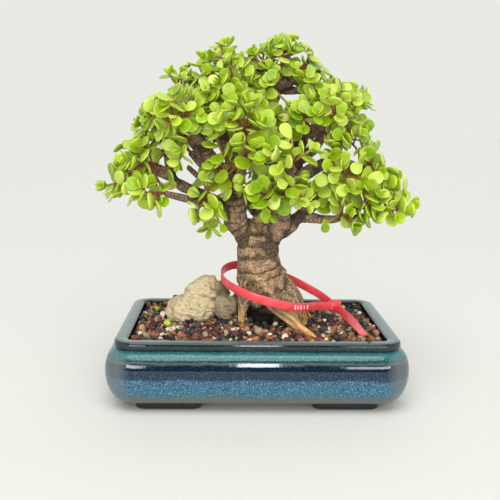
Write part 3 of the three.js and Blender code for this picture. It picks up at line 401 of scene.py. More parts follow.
def mouldedPolythene():
    # Black polythene, injection moulded: a dull even black with a faint grain.
    return grainedFinish("mouldedPolythene", {"Roughness": 0.55, "IOR": 1.5}, {"Scale": 2500},
                         [(0.3, "#17181A"), (0.7, "#2A2B2D")], 0.3, 0.0002)


def finishScreens():
    finish = mouldedPolythene()
    for name in ("drain_screen_left", "drain_screen_right"):
        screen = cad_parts[name]
        screen.data.materials.clear()
        screen.data.materials.append(finish)


makeTray()
finishScreens()

# Wood: limbs as points of x, y, z and radius, from root to end

limbs = {
    "trunk": [[8, 15, 43, 10], [8.5, 12, 53, 12.5], [8.5, 6, 62, 18], [6.5, 4, 69, 18.6],
              [4, 4, 77, 17.3], [2.2, 3.5, 85, 16.3], [1.2, 3, 94, 15.2], [2, 3, 103, 15.7],
              [2.5, 3, 110, 15]],
    "burl": [[12, 1, 83, 7], [18.5, -0.5, 82, 4.6], [21.5, -1, 81, 2.6]],
    "leftLimb": [[0, 2, 98, 11.4], [-8, 0, 111, 9.2], [-15, -3, 120.5, 9], [-15.5, -6, 130, 8.2],
                 [-18, -8, 141, 7.8], [-22, -10, 149, 7.2], [-28, -12, 157, 5.6], [-33, -14, 165, 4.8],
                 [-38, -15, 173, 4.6], [-43, -16, 181, 4.3], [-51, -18, 186, 3.4]],
    "leftTwin": [[-21, -8, 148, 5.2], [-31, -3, 157, 4.7], [-38, 0, 165, 4.2], [-44, 1, 173, 3.8],
                 [-51, 0, 181, 3]],
    "leftUpright": [[-18, -8, 142, 6.4], [-16.5, -5, 152, 6], [-18, -1, 163, 5.4], [-23, 2, 174, 5],
                    [-28, 4, 187, 4.2], [-31, 6, 197, 3.2]],
    "crossTwig": [[-23, 2, 176, 2.4], [-31, 5, 177, 2.1], [-39, 10, 181, 1.7]],
    "leftLow": [[-14, -2, 127, 5.6], [-28, 2, 132, 4.8], [-43, 4, 139, 4.2], [-54, 4, 144, 4],
                [-60, 2, 150, 3.9], [-62.5, 0, 163, 3.6], [-66, -2, 171, 2.8]],
    "leftStub": [[-59, 2, 149, 4], [-69, -4, 155, 4.4], [-77, -8, 158, 4.2], [-83, -10, 160, 3.8]],
    "leftLower": [[-14, -5, 123, 4.6], [-33, -12, 132, 3.4], [-44, -16, 135, 3], [-55, -20, 138, 2.7],
                  [-64, -23, 140.5, 2.2]],
    "innerTwig": [[-19, -7, 145, 3.2], [-31, -1, 147, 2.6], [-41, 4, 150, 2.4], [-50, 10, 157, 2]],
    "rightFork": [[3, 2, 98, 11.2], [11.5, -3, 110, 8.8], [16.5, -9, 120, 7.2], [18, -14, 130, 5.8],
                  [20, -19, 139, 4.2]],
    "rightLow": [[11, -2, 108, 7.4], [22, -3, 116, 5.9], [29, -5, 122.5, 5.2], [36, -9, 123.5, 4.2],
                 [44, -12, 122.5, 3.4], [53, -16, 122.8, 2.9], [61, -20, 125.5, 2.5],
                 [69, -22, 125, 2.2], [78, -24, 127, 1.8]],
    "rightLowFork": [[28, -5, 122, 5], [35, -7, 128.5, 4.6], [43, -5, 133, 3.6], [50, 1, 138, 2.8]],
    "leader": [[2, 4, 100, 11.5], [4, 9, 116, 8.6], [6, 11, 128, 7.4], [8, 11, 141, 6.8],
               [9, 10, 152, 6], [9, 10, 165, 5.6], [11, 9, 178, 5.2], [10, 8, 192, 5],
               [9.5, 8, 204, 5.4], [13, 6, 213, 5.6], [21, 4, 218, 5], [27, 2, 223, 4]],
    "topTwig": [[13, 6, 214, 3.2], [15, 4, 222, 2.7], [16, 2, 229, 2]],
    "topRight": [[13, 6, 212, 3.8], [32, 8, 212, 2.8], [46, 6, 213, 2]],
    "topLeft": [[10, 8, 194, 4], [0, 4, 205, 3.2], [-10, 2, 216, 2.6], [-18, 0, 226, 2]],
    "upperLeft": [[-28, 4, 187, 3.8], [-34, 4, 200, 2.8], [-38, 2, 212, 2]],
    "rightUpper": [[8, 11, 140, 5.2], [18, 7, 146, 5.3], [26, 3, 154, 5.2], [29, 0, 163, 5],
                   [29, -2, 172, 4.8], [34, -4, 179, 4.6], [42, -8, 187, 4.4], [48, -10, 191.5, 3.8]],
    "rightInner": [[28.5, -2, 172, 4.2], [24, -1, 181, 3.6], [19, -1, 188, 2.8]],
    "rightMid": [[17, 7, 146, 5.2], [27, -3, 150, 4.7], [34, -9, 154.5, 4.8], [41, -12, 159, 4.5],
                 [48, -14, 162, 3.6], [57, -16, 164, 2.8], [64, -18, 162, 2.3], [70, -19, 160, 1.9]],
    "rightBack": [[29, 0, 162, 4.6], [36, 10, 167, 4.3], [43, 19, 172, 4.2], [48, 27, 180, 3.4],
                  [52, 33, 189, 2.4]],
    "backLeft": [[5, 10, 121, 6.2], [-6, 20, 132, 5.2], [-20, 32, 142, 4.6], [-36, 42, 153, 3.8],
                 [-50, 50, 166, 2.6]],
    "backLeftUp": [[-19, 31, 141, 4], [-18, 44, 157, 3.2], [-14, 54, 173, 2.4]],
    "backRight": [[8, 11, 133, 5.8], [20, 24, 142, 5], [36, 36, 150, 4.2], [52, 46, 160, 3.2],
                  [64, 52, 171, 2.2]],
    "backRightUp": [[30, 31, 147, 3.8], [26, 44, 161, 3], [22, 55, 177, 2.2]],
    "backLow": [[2, 6, 107, 7.2], [4, 24, 116, 5.2], [6, 40, 124, 4.2], [8, 56, 134, 3.2],
                [10, 68, 145, 2.2]],
    "backTop": [[9, 10, 159, 4.6], [4, 22, 174, 3.8], [0, 34, 188, 3], [-4, 42, 202, 2.2]],
    "backTopRight": [[11, 9, 179, 4.2], [22, 20, 190, 3.4], [32, 28, 203, 2.4]],
    "front": [[-17, -8, 137, 4.8], [-14, -22, 150, 3.8], [-10, -36, 162, 3], [-8, -46, 176, 2.2]],
    "frontRight": [[18, -14, 132, 4.4], [18, -32, 144, 3.4], [20, -46, 155, 2.6], [22, -55, 160, 2]],
    "leftFront": [[-38, -15, 173, 4], [-44, -28, 180, 2.8], [-50, -37, 186, 2.2]],
    "rightFront": [[34, -4, 178, 4], [40, -20, 185, 2.8], [45, -32, 191, 2.2]],
    "spurRoot": [[9, -5, 67, 8.5], [14.5, -15, 60, 5], [22, -25, 54.8, 4.2], [31, -33, 48, 3.2],
                 [39, -39, 43.5, 2.9], [45, -43, 38, 2.4]],
    "rightRoot": [[19, 1, 67, 9.5], [27, -3, 58, 7.6], [30, -8, 50, 6.6], [31.5, -11, 42, 5.4],
                  [32, -13, 34, 4]],
    "rightFlare": [[13, 6, 73, 12], [22, 7, 63, 10.4], [29, 9, 54, 8.2], [36, 13, 45, 6], [42, 18, 37, 4]],
    "leftRoot": [[-3, -2, 75, 9], [-8, -6, 64, 5.4], [-9.8, -9, 56, 3.1], [-10.6, -11, 48, 2.5],
                 [-11, -12, 40, 2.2]],
    "leftBackRoot": [[-3, 8, 67, 9.5], [-12, 14, 56, 7], [-21, 21, 47, 5.2], [-29, 27, 39, 3.6]],
    "backRoot": [[6, 14, 65, 9.5], [8, 25, 54, 7], [11, 35, 46, 5.2], [13, 43, 38, 3.6]],
    "backRightRoot": [[16, 12, 63, 9.5], [26, 23, 52, 6.6], [36, 31, 44, 5], [44, 37, 37, 3.6]],
    "tapRoot": [[7, 6, 50, 14], [6, 4, 36, 9], [5, 2, 22, 4]],
}
limbs = {name: np.array(points, dtype=float) for name, points in limbs.items()}

bark = {
    "voxel": 0.9,
    "step": 2.2,  # how often a limb's line is sampled
    "ringPitch": 8.4,  # the growth rings' spacing on thick wood
    "ringDepth": 0.5,
    "ridgeDepth": 0.55,  # lengthwise ridges on the roots
    "lumps": 1.25,
    "roots": ("spurRoot", "rightRoot", "rightFlare", "leftRoot", "leftBackRoot", "backRoot",
              "backRightRoot"),
    "stubs": ("leftStub", "leftLow", "rightFork", "leader", "leftTwin", "rightInner"),
}


def along(points, share):
    # a smooth line through points of x, y, z and radius, at a share of its length by points
    spans = len(points) - 1
    at = min(max(share, 0), 1) * spans
    k = min(int(at), spans - 1)
    t = at - k
    b, c = points[k], points[k + 1]
    a = points[k - 1] if k > 0 else 2 * b - c
    d = points[k + 2] if k + 2 <= spans else 2 * c - b
    return 0.5 * (2 * b + (c - a) * t + (2 * a - 5 * b + 4 * c - d) * t * t
                  + (3 * b - a - 3 * c + d) * t * t * t)


def sampled(points, step):
    length = np.linalg.norm(np.diff(points[:, :3], axis=0), axis=1).sum()
    count = max(4, int(length / step))
    return np.array([along(points, k / count) for k in range(count + 1)])


def unit(vector):
    return vector / np.linalg.norm(vector)


def roundLine(name, lines, resolution):
    # thick round lines through points of x, y, z and radius, as one mesh
    curve = bpy.data.curves.new(name, "CURVE")
    curve.dimensions = "3D"
    curve.bevel_depth = 1
    curve.bevel_resolution = resolution
    curve.use_fill_caps = True
    for line in lines:
        spline = curve.splines.new("POLY")
        spline.points.add(len(line) - 1)
        for point, (x, y, z, radius) in zip(spline.points, line):
            point.co = (x, y, z, 1)
            point.radius = radius
    piece = bpy.data.objects.new(name, curve)
    bpy.context.scene.collection.objects.link(piece)
    takeHold(piece)
    bpy.ops.object.convert(target="MESH")
    return bpy.context.object


def wobble(places, scale, seed):
    # smooth noise from -1 to 1 at a grain of `scale` millimetres
    shift = Vector((seed * 17.3, seed * 5.1, seed * 9.7))
    return np.array([noise.noise(Vector(place) / scale + shift) for place in places.tolist()])


def limbRun():
    # samples of every limb: place, radius, distance run, whether a root, and the share of its length
    rows = []
    for name, points in limbs.items():
        line = sampled(points, 1.2)
        steps = np.linalg.norm(np.diff(line[:, :3], axis=0), axis=1)
        run = np.concatenate([[0], np.cumsum(steps)])
        way = np.gradient(line[:, :3], axis=0)
        way /= np.linalg.norm(way, axis=1)[:, None]
        root = np.full(len(line), 1.0 if name in bark["roots"] else 0.0)
        left = run[-1] - run if name in bark["stubs"] else np.full(len(line), 99.0)
        order = np.full(len(line), len(rows))
        rows.append(np.column_stack([line, run + 31 * len(rows), way, root, left, order]))
    return np.concatenate(rows)


def readBark(places, run):
    # for each point: the nearest limb's own measures, by distance to its surface, and how much further
    # off the next limb is
    best = np.empty(len(places), dtype=int)
    seam = np.empty(len(places))
    for start in range(0, len(places), 4000):
        part = places[start:start + 4000]
        gaps = np.linalg.norm(part[:, None, :] - run[None, :, :3], axis=2) - run[None, :, 3]
        mine = np.argmin(gaps, axis=1)
        best[start:start + 4000] = mine
        others = np.where(run[mine, 10][:, None] == run[None, :, 10], 99.0, gaps)
        seam[start:start + 4000] = others.min(axis=1) - gaps.min(axis=1)
    return run[best], seam


def carveBark(wood):
    places = readPoints(wood)
    normals = readPoints(wood, "normal")
    owner, seam = readBark(places, limbRun())
    radius, runLength, way, root, left = owner[:, 3], owner[:, 4], owner[:, 5:8], owner[:, 8], owner[:, 9]
    offset = places - owner[:, :3]
    slide = np.einsum("ij,ij->i", offset, way)
    outward = offset - slide[:, None] * way
    side = np.cross(way, [0.1, 0.13, 1.0])
    side /= np.linalg.norm(side, axis=1)[:, None]
    other = np.cross(way, side)
    angle = np.arctan2(np.einsum("ij,ij->i", outward, other), np.einsum("ij,ij->i", outward, side))
    runLength = runLength + slide

    coarse = wobble(places, 15, 1)
    middle = wobble(places, 5.5, 2)
    fine = wobble(places, 2.4, 3)
    thick = np.clip((radius - 2.5) / 9, 0, 1)
    pitch = 2.6 + (bark["ringPitch"] - 2.6) * thick
    phase = runLength / pitch + 0.32 * coarse + 0.16 * middle
    crease = np.exp(-((phase - np.floor(phase) - 0.5) / 0.1) ** 2)
    crease *= np.clip(0.95 + 1.1 * wobble(places, 11, 4), 0.15, 1.3)
    fork = np.exp(-(seam / 1.3) ** 2) * np.clip((places[:, 2] - 95) / 8, 0, 1)  # the line where two limbs meet
    crease = np.maximum(crease * (1 - 0.9 * root), 1.2 * fork)
    swell = np.cos(2 * np.pi * phase)
    ridge = np.sin(angle * np.clip(radius * 1.1, 3, 9).round() + 1.6 * coarse + 0.04 * runLength)
    grainy = np.clip(root * 1.0 + 0.25 * (places[:, 2] < 72), 0, 1)
    lift = bark["lumps"] * thick * (0.9 * coarse + 0.55 * middle) + 0.28 * middle + 0.2 * fine
    lift -= bark["ringDepth"] * (0.6 + 0.4 * thick) * crease + 0.5 * fork
    lift += 0.16 * swell * (1 - root) * thick
    lift += bark["ridgeDepth"] * ridge * grainy * np.clip(radius / 6, 0.3, 1)
    lift = np.where(radius < 3, 0.45 * lift, lift)
    places += normals * lift[:, None]
    writePoints(wood, places)

    # painted shade: the shaded hollow under the trunk, between the spur root and the left stub, is darkened
    x, y, z = readPoints(wood).T
    under = np.clip((66 - z) / 7, 0, 1) * np.clip((y + 13) / 5, 0, 1) * np.clip((18 - x) / 6, 0, 1)
    shares = {"run": runLength / perMetre, "turn": angle / (2 * math.pi), "girth": radius / 20,
              "rootness": root, "cutEnd": np.clip(1 - left / 3.5, 0, 1),
              # how deep a point lies in a crease, for the painted shade there
              "hollow": np.clip(0.5 + 0.5 * (crease - lift), 0, 1),
              "underShade": under * (1 - 0.85 * root) * np.clip((x + 14) / 4, 0, 1)}
    for name, values in shares.items():
        writeShare(wood, name, values)


def jadeBark():
    # Corky succulent bark: a tan, papery skin ringed by fine creases, purple-grey on younger wood, and
    # orange-tan where the roots were peeled. It is dry and matt.
    finish, tree = blankFinish("jadeBark", **{"Roughness": 0.85, "IOR": 1.45})
    place = addNode(tree, "TexCoord")
    runAt, turnAt, girth, rootness, cutEnd, hollow, underShade = (
        addNode(tree, "Attribute", attribute_name=name)
        for name in ("run", "turn", "girth", "rootness", "cutEnd", "hollow", "underShade"))

    patch = addNode(tree, "TexNoise", {"Vector": place, "Scale": 110, "Detail": 4, "Roughness": 0.65})
    crumb = addNode(tree, "TexNoise", {"Vector": place, "Scale": 620, "Detail": 4, "Roughness": 0.7})
    old = addNode(tree, "ValToRGB", {"Fac": crumb}, [
        (0.3, "#543E2B"), (0.42, "#92724F"), (0.53, "#BC9A6E"), (0.64, "#D8BB8C"), (0.76, "#E8D3AE")])
    purple = addNode(tree, "ValToRGB", {"Fac": crumb}, [(0.3, "#4E3F38"), (0.5, "#8A7264"), (0.7, "#BAA492")])
    young = addNode(tree, "MapRange", {"Value": girth, "From Min": 0.72, "From Max": 0.3, "To Min": 0.0,
                                       "To Max": 0.7})
    blotch = addNode(tree, "ValToRGB", {"Fac": patch}, [(0.47, 0.0), (0.6, 1.0)])
    grey = addNode(tree, "Math", {0: young, 1: blotch}, operation="ADD", use_clamp=True)
    greyShare = addNode(tree, "Math", {0: grey, 1: 0.72}, operation="MULTIPLY")
    skinned = addNode(tree, "Mix", {"Factor": greyShare, 6: old, 7: purple})

    # roots: lengthwise fibres, from the run and the turn round the root
    fibreRun = addNode(tree, "Math", {0: runAt, 1: 90}, operation="MULTIPLY")
    fibreTurn = addNode(tree, "Math", {0: turnAt, 1: 16}, operation="MULTIPLY")
    fibreAt = addNode(tree, "CombineXYZ", {"X": fibreRun, "Y": fibreTurn})
    fibre = addNode(tree, "TexNoise", {"Vector": fibreAt, "Scale": 1.3, "Detail": 3})
    peeled = addNode(tree, "ValToRGB", {"Fac": fibre}, [
        (0.33, "#5E3A1C"), (0.43, "#B98446"), (0.56, "#D6AC6E"), (0.7, "#E8CE9E")])
    low = addNode(tree, "MapRange", {"Value": addNode(
        tree, "SeparateXYZ", {"Vector": place}).outputs["Z"], "From Min": 0.060, "From Max": 0.052})
    bare = addNode(tree, "Math", {0: low, 1: rootness}, operation="MULTIPLY")
    rooted = addNode(tree, "Mix", {"Factor": bare, 6: skinned, 7: peeled})

    # fine creases across the limb, 1.3 mm apart
    rings = addNode(tree, "Math", {0: runAt, 1: perMetre / 1.3}, operation="MULTIPLY")
    drift = addNode(tree, "Math", {0: patch, 1: 9.0, 2: rings}, operation="MULTIPLY_ADD")
    ringAt = addNode(tree, "CombineXYZ", {"X": drift, "Y": fibreTurn})
    ring = addNode(tree, "TexNoise", {"Vector": ringAt, "Scale": 0.8, "Detail": 2})
    darkRing = addNode(tree, "ValToRGB", {"Fac": ring}, [(0.34, 0.6), (0.5, 1.0)])
    ringed = addNode(tree, "MapRange", {"Value": rootness, "To Min": 0.7, "To Max": 0.12})
    creased = addNode(tree, "Mix", {"Factor": ringed, 6: rooted, 7: darkRing}, blend_type="MULTIPLY")
    # painted shade: the bark is darkened in its creases and recesses
    creaseShade = addNode(tree, "ValToRGB", {"Fac": hollow}, [(0.45, 1.0), (0.9, 0.22)])
    shaded = addNode(tree, "Mix", {"Factor": 0.9, 6: creased, 7: creaseShade}, blend_type="MULTIPLY")
    # painted shade: near-black in the hollow under the trunk
    underShaded = addNode(tree, "Mix", {"Factor": underShade, 6: shaded, 7: linear("#120D0A")})
    sawn = addNode(tree, "Mix", {"Factor": cutEnd, 6: underShaded, 7: linear("#211B18")})
    height = addNode(tree, "Math", {0: ring, 1: crumb})
    return covered(finish, sawn, height, 0.75, 0.0009)


def makeWood():
    wood = roundLine("limbs", [sampled(points, bark["step"]) for points in limbs.values()], 4)
    remeshed(wood, bark["voxel"], 3)
    carveBark(wood)
    setDown(wood, "bark_wood", [jadeBark()], ["wood"], 180)
    print("wood:", len(wood.data.polygons), "faces")


makeWood()

# Rock: pale, folded lumps of lace stone

boulder = {
    # each lump: its middle, its half-sizes and how much darker it is painted, partly stone colour and partly
    # painted shade
    "lumps": [((-46, 5, 54), (17.5, 13, 12), 0), ((-39.5, 5, 65), (12.5, 10.5, 11.5), 0),
              ((-34.5, 6, 72.5), (6.8, 7, 6.8), 0), ((-57.5, 4, 51), (8.5, 8, 8), 0),
              ((-22.5, -2, 56), (6.8, 7, 9.5), 0.5), ((-17, -1, 58.5), (5.6, 6, 7), 0.6),
              ((-26, 7, 65), (7, 6, 9), 1)],
    "voxel": 0.6,
    "foldDepth": 1.1,
    "pitDepth": 0.8,
}


def laceStone():
    # Lace rock: chalky tan stone, folded and pitted by water, darker brown in the hollows.
    finish, tree = blankFinish("laceStone", **{"Roughness": 0.95, "IOR": 1.5})
    place = addNode(tree, "TexCoord")
    hollow = addNode(tree, "Attribute", attribute_name="hollow")
    crumb = addNode(tree, "TexNoise", {"Vector": place, "Scale": 480, "Detail": 5, "Roughness": 0.7})
    broad = addNode(tree, "TexNoise", {"Vector": place, "Scale": 70, "Detail": 2})
    chalk = addNode(tree, "ValToRGB", {"Fac": crumb}, [
        (0.25, "#A08E6C"), (0.42, "#C6B590"), (0.6, "#DBCDAA"), (0.78, "#EADFC6")])
    dull = addNode(tree, "Mix", {"Factor": broad, 6: linear("#FFFFFF"), 7: linear("#C9BDA6")})
    toned = addNode(tree, "Mix", {"Factor": 0.7, 6: chalk, 7: dull}, blend_type="MULTIPLY")
    hollowDarkening = addNode(tree, "ValToRGB", {"Fac": hollow}, [(0.6, 0.0), (1.0, 0.75)])
    hollowDarkened = addNode(tree, "Mix", {"Factor": hollowDarkening, 6: toned, 7: linear("#5A4A30")})
    # partly painted shade: the lumps low beside the trunk and behind are darkened
    lumpShade = addNode(tree, "Attribute", attribute_name="lumpShade")
    lumpShaded = addNode(tree, "Mix", {"Factor": lumpShade, 6: linear("#FFFFFF"), 7: linear("#4C4238")})
    shaded = addNode(tree, "Mix", {"Factor": 0.95, 6: hollowDarkened, 7: lumpShaded}, blend_type="MULTIPLY")
    return covered(finish, shaded, crumb, 0.7, 0.0010)


def makeRock():
    lumps = []
    for centre, half, _ in boulder["lumps"]:
        letGo()
        bpy.ops.mesh.primitive_ico_sphere_add(subdivisions=4, radius=1, location=(0, 0, 0))
        lump = bpy.context.object
        ball = readPoints(lump)
        x, y, z = ball.T
        facets = 0.07 * np.sin(3.1 * x + 2.3 * z + centre[0]) + 0.06 * np.sin(4.3 * y - 2.7 * x + centre[2])
        ball = np.sign(ball) * np.abs(ball) ** 0.88  # boxier than a ball
        writePoints(lump, np.array(centre) + ball * np.array(half) * (0.97 + facets)[:, None])
        lumps.append(lump)
    rock = takeHold(*lumps)
    bpy.ops.object.join()
    remeshed(rock, boulder["voxel"], 4)
    places = readPoints(rock)
    normals = readPoints(rock, "normal")
    bent = places + 1.5 * np.column_stack([wobble(places, 7, seed) for seed in (11, 12, 13)])
    leaned = bent @ np.array([[1, 0, 0.5], [0, 1, 0], [-0.7, 0, 1]])  # the folds run down to the left
    folds = 1 - 2 * np.abs(wobble(leaned * [0.55, 0.8, 1.5], 4.6, 14))
    small = 1 - 2 * np.abs(wobble(leaned * [0.7, 1, 1.4], 2.3, 15))
    pits = np.clip(wobble(places, 1.9, 16) - 0.1, 0, 1)
    broad = wobble(places, 12, 17)
    lift = (boulder["foldDepth"] * (folds - 0.7) + 0.45 * (small - 0.6) - boulder["pitDepth"] * pits
            + 0.8 * broad)
    places += normals * np.clip(lift, -2.6, 1.0)[:, None]
    writePoints(rock, places)
    writeShare(rock, "hollow", np.clip(0.42 - 0.36 * (lift - 0.8 * broad), 0, 1))
    reach = np.array([np.linalg.norm((places - centre) / np.array(half), axis=1)
                      for centre, half, _ in boulder["lumps"]])
    darkness = np.array([dark for _, _, dark in boulder["lumps"]])
    weight = np.exp(-6 * reach)
    writeShare(rock, "lumpShade", (weight * darkness[:, None]).sum(axis=0) / weight.sum(axis=0))
    setDown(rock, "lace_rock", [laceStone()], ["rock"], 180)
    print("rock:", len(rock.data.polygons), "faces")


makeRock()

# Filling: a damp bed with loose grains on it

grit = {
    "level": 44.6,
    "mound": 3.2,
    "seed": 2800,
    "spacing": 3.2,
    "size": (1.3, 2.6),  # half of a grain's width
    "rim": 1.0,  # how much higher the bed lies beside the walls
    "hollow": 3.2,  # how much lower under the trunk's foot
    "layers": [(-2.0, 1.0, 1), (0.3, 1.0, 1), (2.4, 0.26, 1.2)],  # how high, how full and how much wider spaced
    "big": (0.16, 1.35),  # the share of bigger grains and how much bigger they are
    "walls": (85.6, 60.6, 8, 13.1),  # half the bed's length and depth, and its corners' inset and reach
    # places as x, y and the reach each way: dark lava, mixed chips, orange clay, the hollow and the moss
    "lavaAt": (41, -10, 13, 24),
    "chipsAt": (60, -22, 13, 28),
    "clayAt": (-5, -45, 40, 18),
    "hollowAt": (4, -15, 12, 9),
    "mossAt": [(-75, 47, 5, 5), (-65.5, -7, 4.5, 4.5), (78, 51, 4.8, 4.8)],
    # stray grains on the rim: kind, x, y, z and half-width
    "strays": [("dark_lava", -62.5, 66, 49.4, 2.1), ("red_lava", 72.5, -65.5, 49.2, 1.6)],
}

# each kind of grain: its share of the bed, and the colours that its grains take
grainKinds = {
    "fired_clay": (0.26, [(0.0, "#4A2822"), (0.35, "#743C30"), (0.7, "#945548"), (1.0, "#A8705C")]),
    "red_lava": (0.17, [(0.0, "#372222"), (0.5, "#5B3B34"), (1.0, "#6E5148")]),
    "orange_clay": (0.11, [(0.0, "#8A4E2C"), (0.5, "#A86C42"), (1.0, "#C09468")]),
    "dark_lava": (0.27, [(0.0, "#121214"), (0.5, "#29282B"), (1.0, "#4C4A4F")]),
    "pumice": (0.14, [(0.0, "#A08C70"), (0.5, "#C6B896"), (1.0, "#E2DAC4")]),
    "brown_grit": (0.11, [(0.0, "#3F3325"), (0.5, "#68573F"), (1.0, "#A08C6C")]),
    "moss_tuft": (0.0, [(0.0, "#4E6A16"), (0.5, "#86A32A"), (1.0, "#B7C94E")]),
}


def nearness(x, y, patch):
    # 1 in the middle of a patch, given as x, y and its reach each way, and fading outwards
    middleX, middleY, reachX, reachY = patch
    return math.exp(-((x - middleX) / reachX) ** 2 - ((y - middleY) / reachY) ** 2)


def kindShares(x, y):
    # dark lava lies thick behind the spur root, mixed chips right of it, orange clay in front of the trunk; the
    # dark lava crowding the hollow under the trunk's foot is partly painted shade
    patches = ("lavaAt", "chipsAt", "clayAt", "hollowAt")
    right, chips, middle, foot = (nearness(x, y, grit[name]) for name in patches)
    left = 1 / (1 + math.exp((x + 40) / 8))
    more = {"dark_lava": 1 + 5 * right + 9 * foot - 0.4 * chips, "orange_clay": 1 + 1.3 * middle + 1.6 * chips,
            "fired_clay": 1 + 0.4 * middle, "pumice": 1 - 0.35 * left + 0.7 * chips,
            "brown_grit": 1 + 1.2 * left + 1.2 * chips}
    shares = np.array([share * more.get(name, 1) for name, (share, _) in grainKinds.items()])
    shares[list(grainKinds).index("moss_tuft")] = 1.2 * sum(nearness(x, y, patch) for patch in grit["mossAt"])
    return shares / shares.sum()


def grainFinish(name, stops):
    # Dry fired or volcanic grit: open pores make it matt, and each grain has its own shade. The dry moss
    # tufts are as matt and ragged.
    finish, tree = blankFinish(name, **{"Roughness": 0.9, "IOR": 1.5})
    place = addNode(tree, "TexCoord")
    tint = addNode(tree, "Attribute", attribute_name="tint")
    pores = addNode(tree, "TexNoise", {"Vector": place, "Scale": 1100, "Detail": 3, "Roughness": 0.7})
    mixed = addNode(tree, "Math", {0: pores, 1: 0.5, 2: tint}, operation="MULTIPLY_ADD")
    eased = addNode(tree, "Math", {0: mixed, 1: -0.25})
    shade = addNode(tree, "ValToRGB", {"Fac": eased}, stops)
    return covered(finish, shade, pores, 0.7, 0.0005)


def dampPeat():
    # Crushed grit and bark fines, wet and nearly black between the grains.
    return grainedFinish("dampPeat", {"Roughness": 0.9, "IOR": 1.4}, {"Scale": 420, "Detail": 4},
                         [(0.35, "#0D0907"), (0.6, "#2A1C15"), (0.8, "#4A3225")], 1.0, 0.002)


def bedHeight(x, y):
    edge = np.clip(max(abs(x) - 70, abs(y) - 45) / 12, 0, 1)
    hollow = nearness(x, y, grit["hollowAt"])
    mound = math.exp(-(x * x + y * y) / 2600)
    return grit["level"] + grit["mound"] * mound + grit["rim"] * edge - grit["hollow"] * hollow


def makeBed():
    walls = [(out - 0.3, z) for out, z in tray["inside"][::-1]]
    profile = [(-15, 12.3), (walls[0][0], 12.3), *walls[1:], (-9.3, 43.3), (-15, 43.3)]
    bed = roundedTray(profile, 6)
    for side in (-1, 1):  # room for the drain screens
        screen = addPlainCube((side * tray["drain"]["x"], 0, 12.9), (26.6, 26.6, 1.6))
        cutOrJoin(bed, screen, "DIFFERENCE")
    setDown(bed, "potting_bed", [dampPeat()], ["soil"], 40)


def grainShapes():
    # four broken grains, each shaped once: half-width 1
    shapes = []
    for seed, (rounding, rough, flat) in enumerate([(0.55, 0.34, 0.85), (0.8, 0.26, 0.95), (0.3, 0.42, 0.7),
                                                    (0.65, 0.36, 0.6)]):
        letGo()
        bpy.ops.mesh.primitive_cube_add(size=1.7, location=(0, 0, 0))
        grain = bpy.context.object
        bpy.ops.object.mode_set(mode="EDIT")
        bpy.ops.mesh.subdivide(number_cuts=1)
        bpy.ops.mesh.select_all(action="SELECT")
        bpy.ops.transform.tosphere(value=rounding)
        bpy.ops.transform.vertex_random(offset=rough, uniform=0.8, normal=0.2, seed=seed + 3)
        bpy.ops.transform.resize(value=(1, 0.9, flat))
        letGo()
        points = readPoints(grain)
        points /= np.abs(points).max()
        faces = np.array([list(face.vertices) for face in grain.data.polygons])
        shapes.append((points, faces))
        bpy.data.objects.remove(grain, do_unlink=True)
    return shapes


def turned(rng, tilt=math.pi):
    # a repeatable turn about a tilted axis
    axis = unit(rng.normal(size=3))
    angle = rng.uniform(-tilt, tilt)
    x, y, z = axis
    cross = np.array([[0, -z, y], [z, 0, -x], [-y, x, 0]])
    return np.eye(3) + math.sin(angle) * cross + (1 - math.cos(angle)) * cross @ cross


def rootBalls():
    # balls that the grains stay out of: roots and trunk
    low = (*bark["roots"], "trunk", "tapRoot")
    balls = [sampled(points, 1.5) for name, points in limbs.items() if name in low]
    return np.concatenate(balls)


def makeGrains():
    rng = np.random.default_rng(grit["seed"])
    wood = rootBalls()
    shapes = grainShapes()
    heaps = {name: [] for name in grainKinds}
    names = list(grainKinds)
    halfX, halfY, inset, cornerReach = grit["walls"]
    bigShare, bigger = grit["big"]
    for layer, (lift, share, wider) in enumerate(grit["layers"]):
        step = grit["spacing"] * wider
        for y in np.arange(-halfY, halfY, step):
            for x in np.arange(-halfX, halfX, step):
                if rng.random() > share:
                    continue
                aside = step / 2 if layer == 1 else 0
                px, py = (value + rng.uniform(-0.5, 0.5) * step + aside for value in (x, y))
                size = rng.uniform(*grit["size"]) * (bigger if rng.random() < bigShare else 1)
                squash = rng.uniform(0.8, 1.2, 3)
                spin = turned(rng)
                kind = rng.choice(len(names), p=kindShares(x, y))
                shape = rng.integers(len(shapes))
                rise = rng.uniform(-0.6, 0.6)
                tint = rng.random()
                # rounded corners of the inner wall, with a dark gap beside it
                outX, outY = (max(abs(value) - abs(middle) + inset, 0)
                              for value, middle in zip((px, py), tray["arcCentre"]))
                if abs(px) > halfX - size or abs(py) > halfY + 0.1 - size:
                    continue
                if math.hypot(outX, outY) > cornerReach:
                    continue
                pz = bedHeight(px, py) - 1.6 + lift + rise
                centre = np.array([px, py, pz])
                if (np.linalg.norm(wood[:, :3] - centre, axis=1) < wood[:, 3] + 0.35 * size).any():
                    continue
                if any((((centre - middle) / (np.array(half) + 0.2 * size)) ** 2).sum() < 1
                       for middle, half, _ in boulder["lumps"]):
                    continue
                points, faces = shapes[shape]
                heaps[names[kind]].append((centre + (points * squash * size) @ spin.T, faces, tint))
    print("grains:", sum(len(heap) for heap in heaps.values()))
    for kind, x, y, z, size in grit["strays"]:
        points, faces = shapes[0]
        heaps[kind].append((np.array([x, y, z]) + points * size, faces, 0.4))
    for name in names:
        points, faces, tints, start = [], [], [], 0
        for grainPoints, grainFaces, tint in heaps[name]:
            points.append(grainPoints)
            faces.append(grainFaces + start)
            tints.append(np.full(len(grainPoints), tint))
            start += len(grainPoints)
        heap = meshFrom(name, np.concatenate(points), np.concatenate(faces))
        writeShare(heap, "tint", np.concatenate(tints))
        setDown(heap, f"grains_{name}", [grainFinish(name + "_grit", grainKinds[name][1])], (), 50)


makeBed()
makeGrains()

# Strap tag: a flat vinyl strap, looped round the trunk's foot

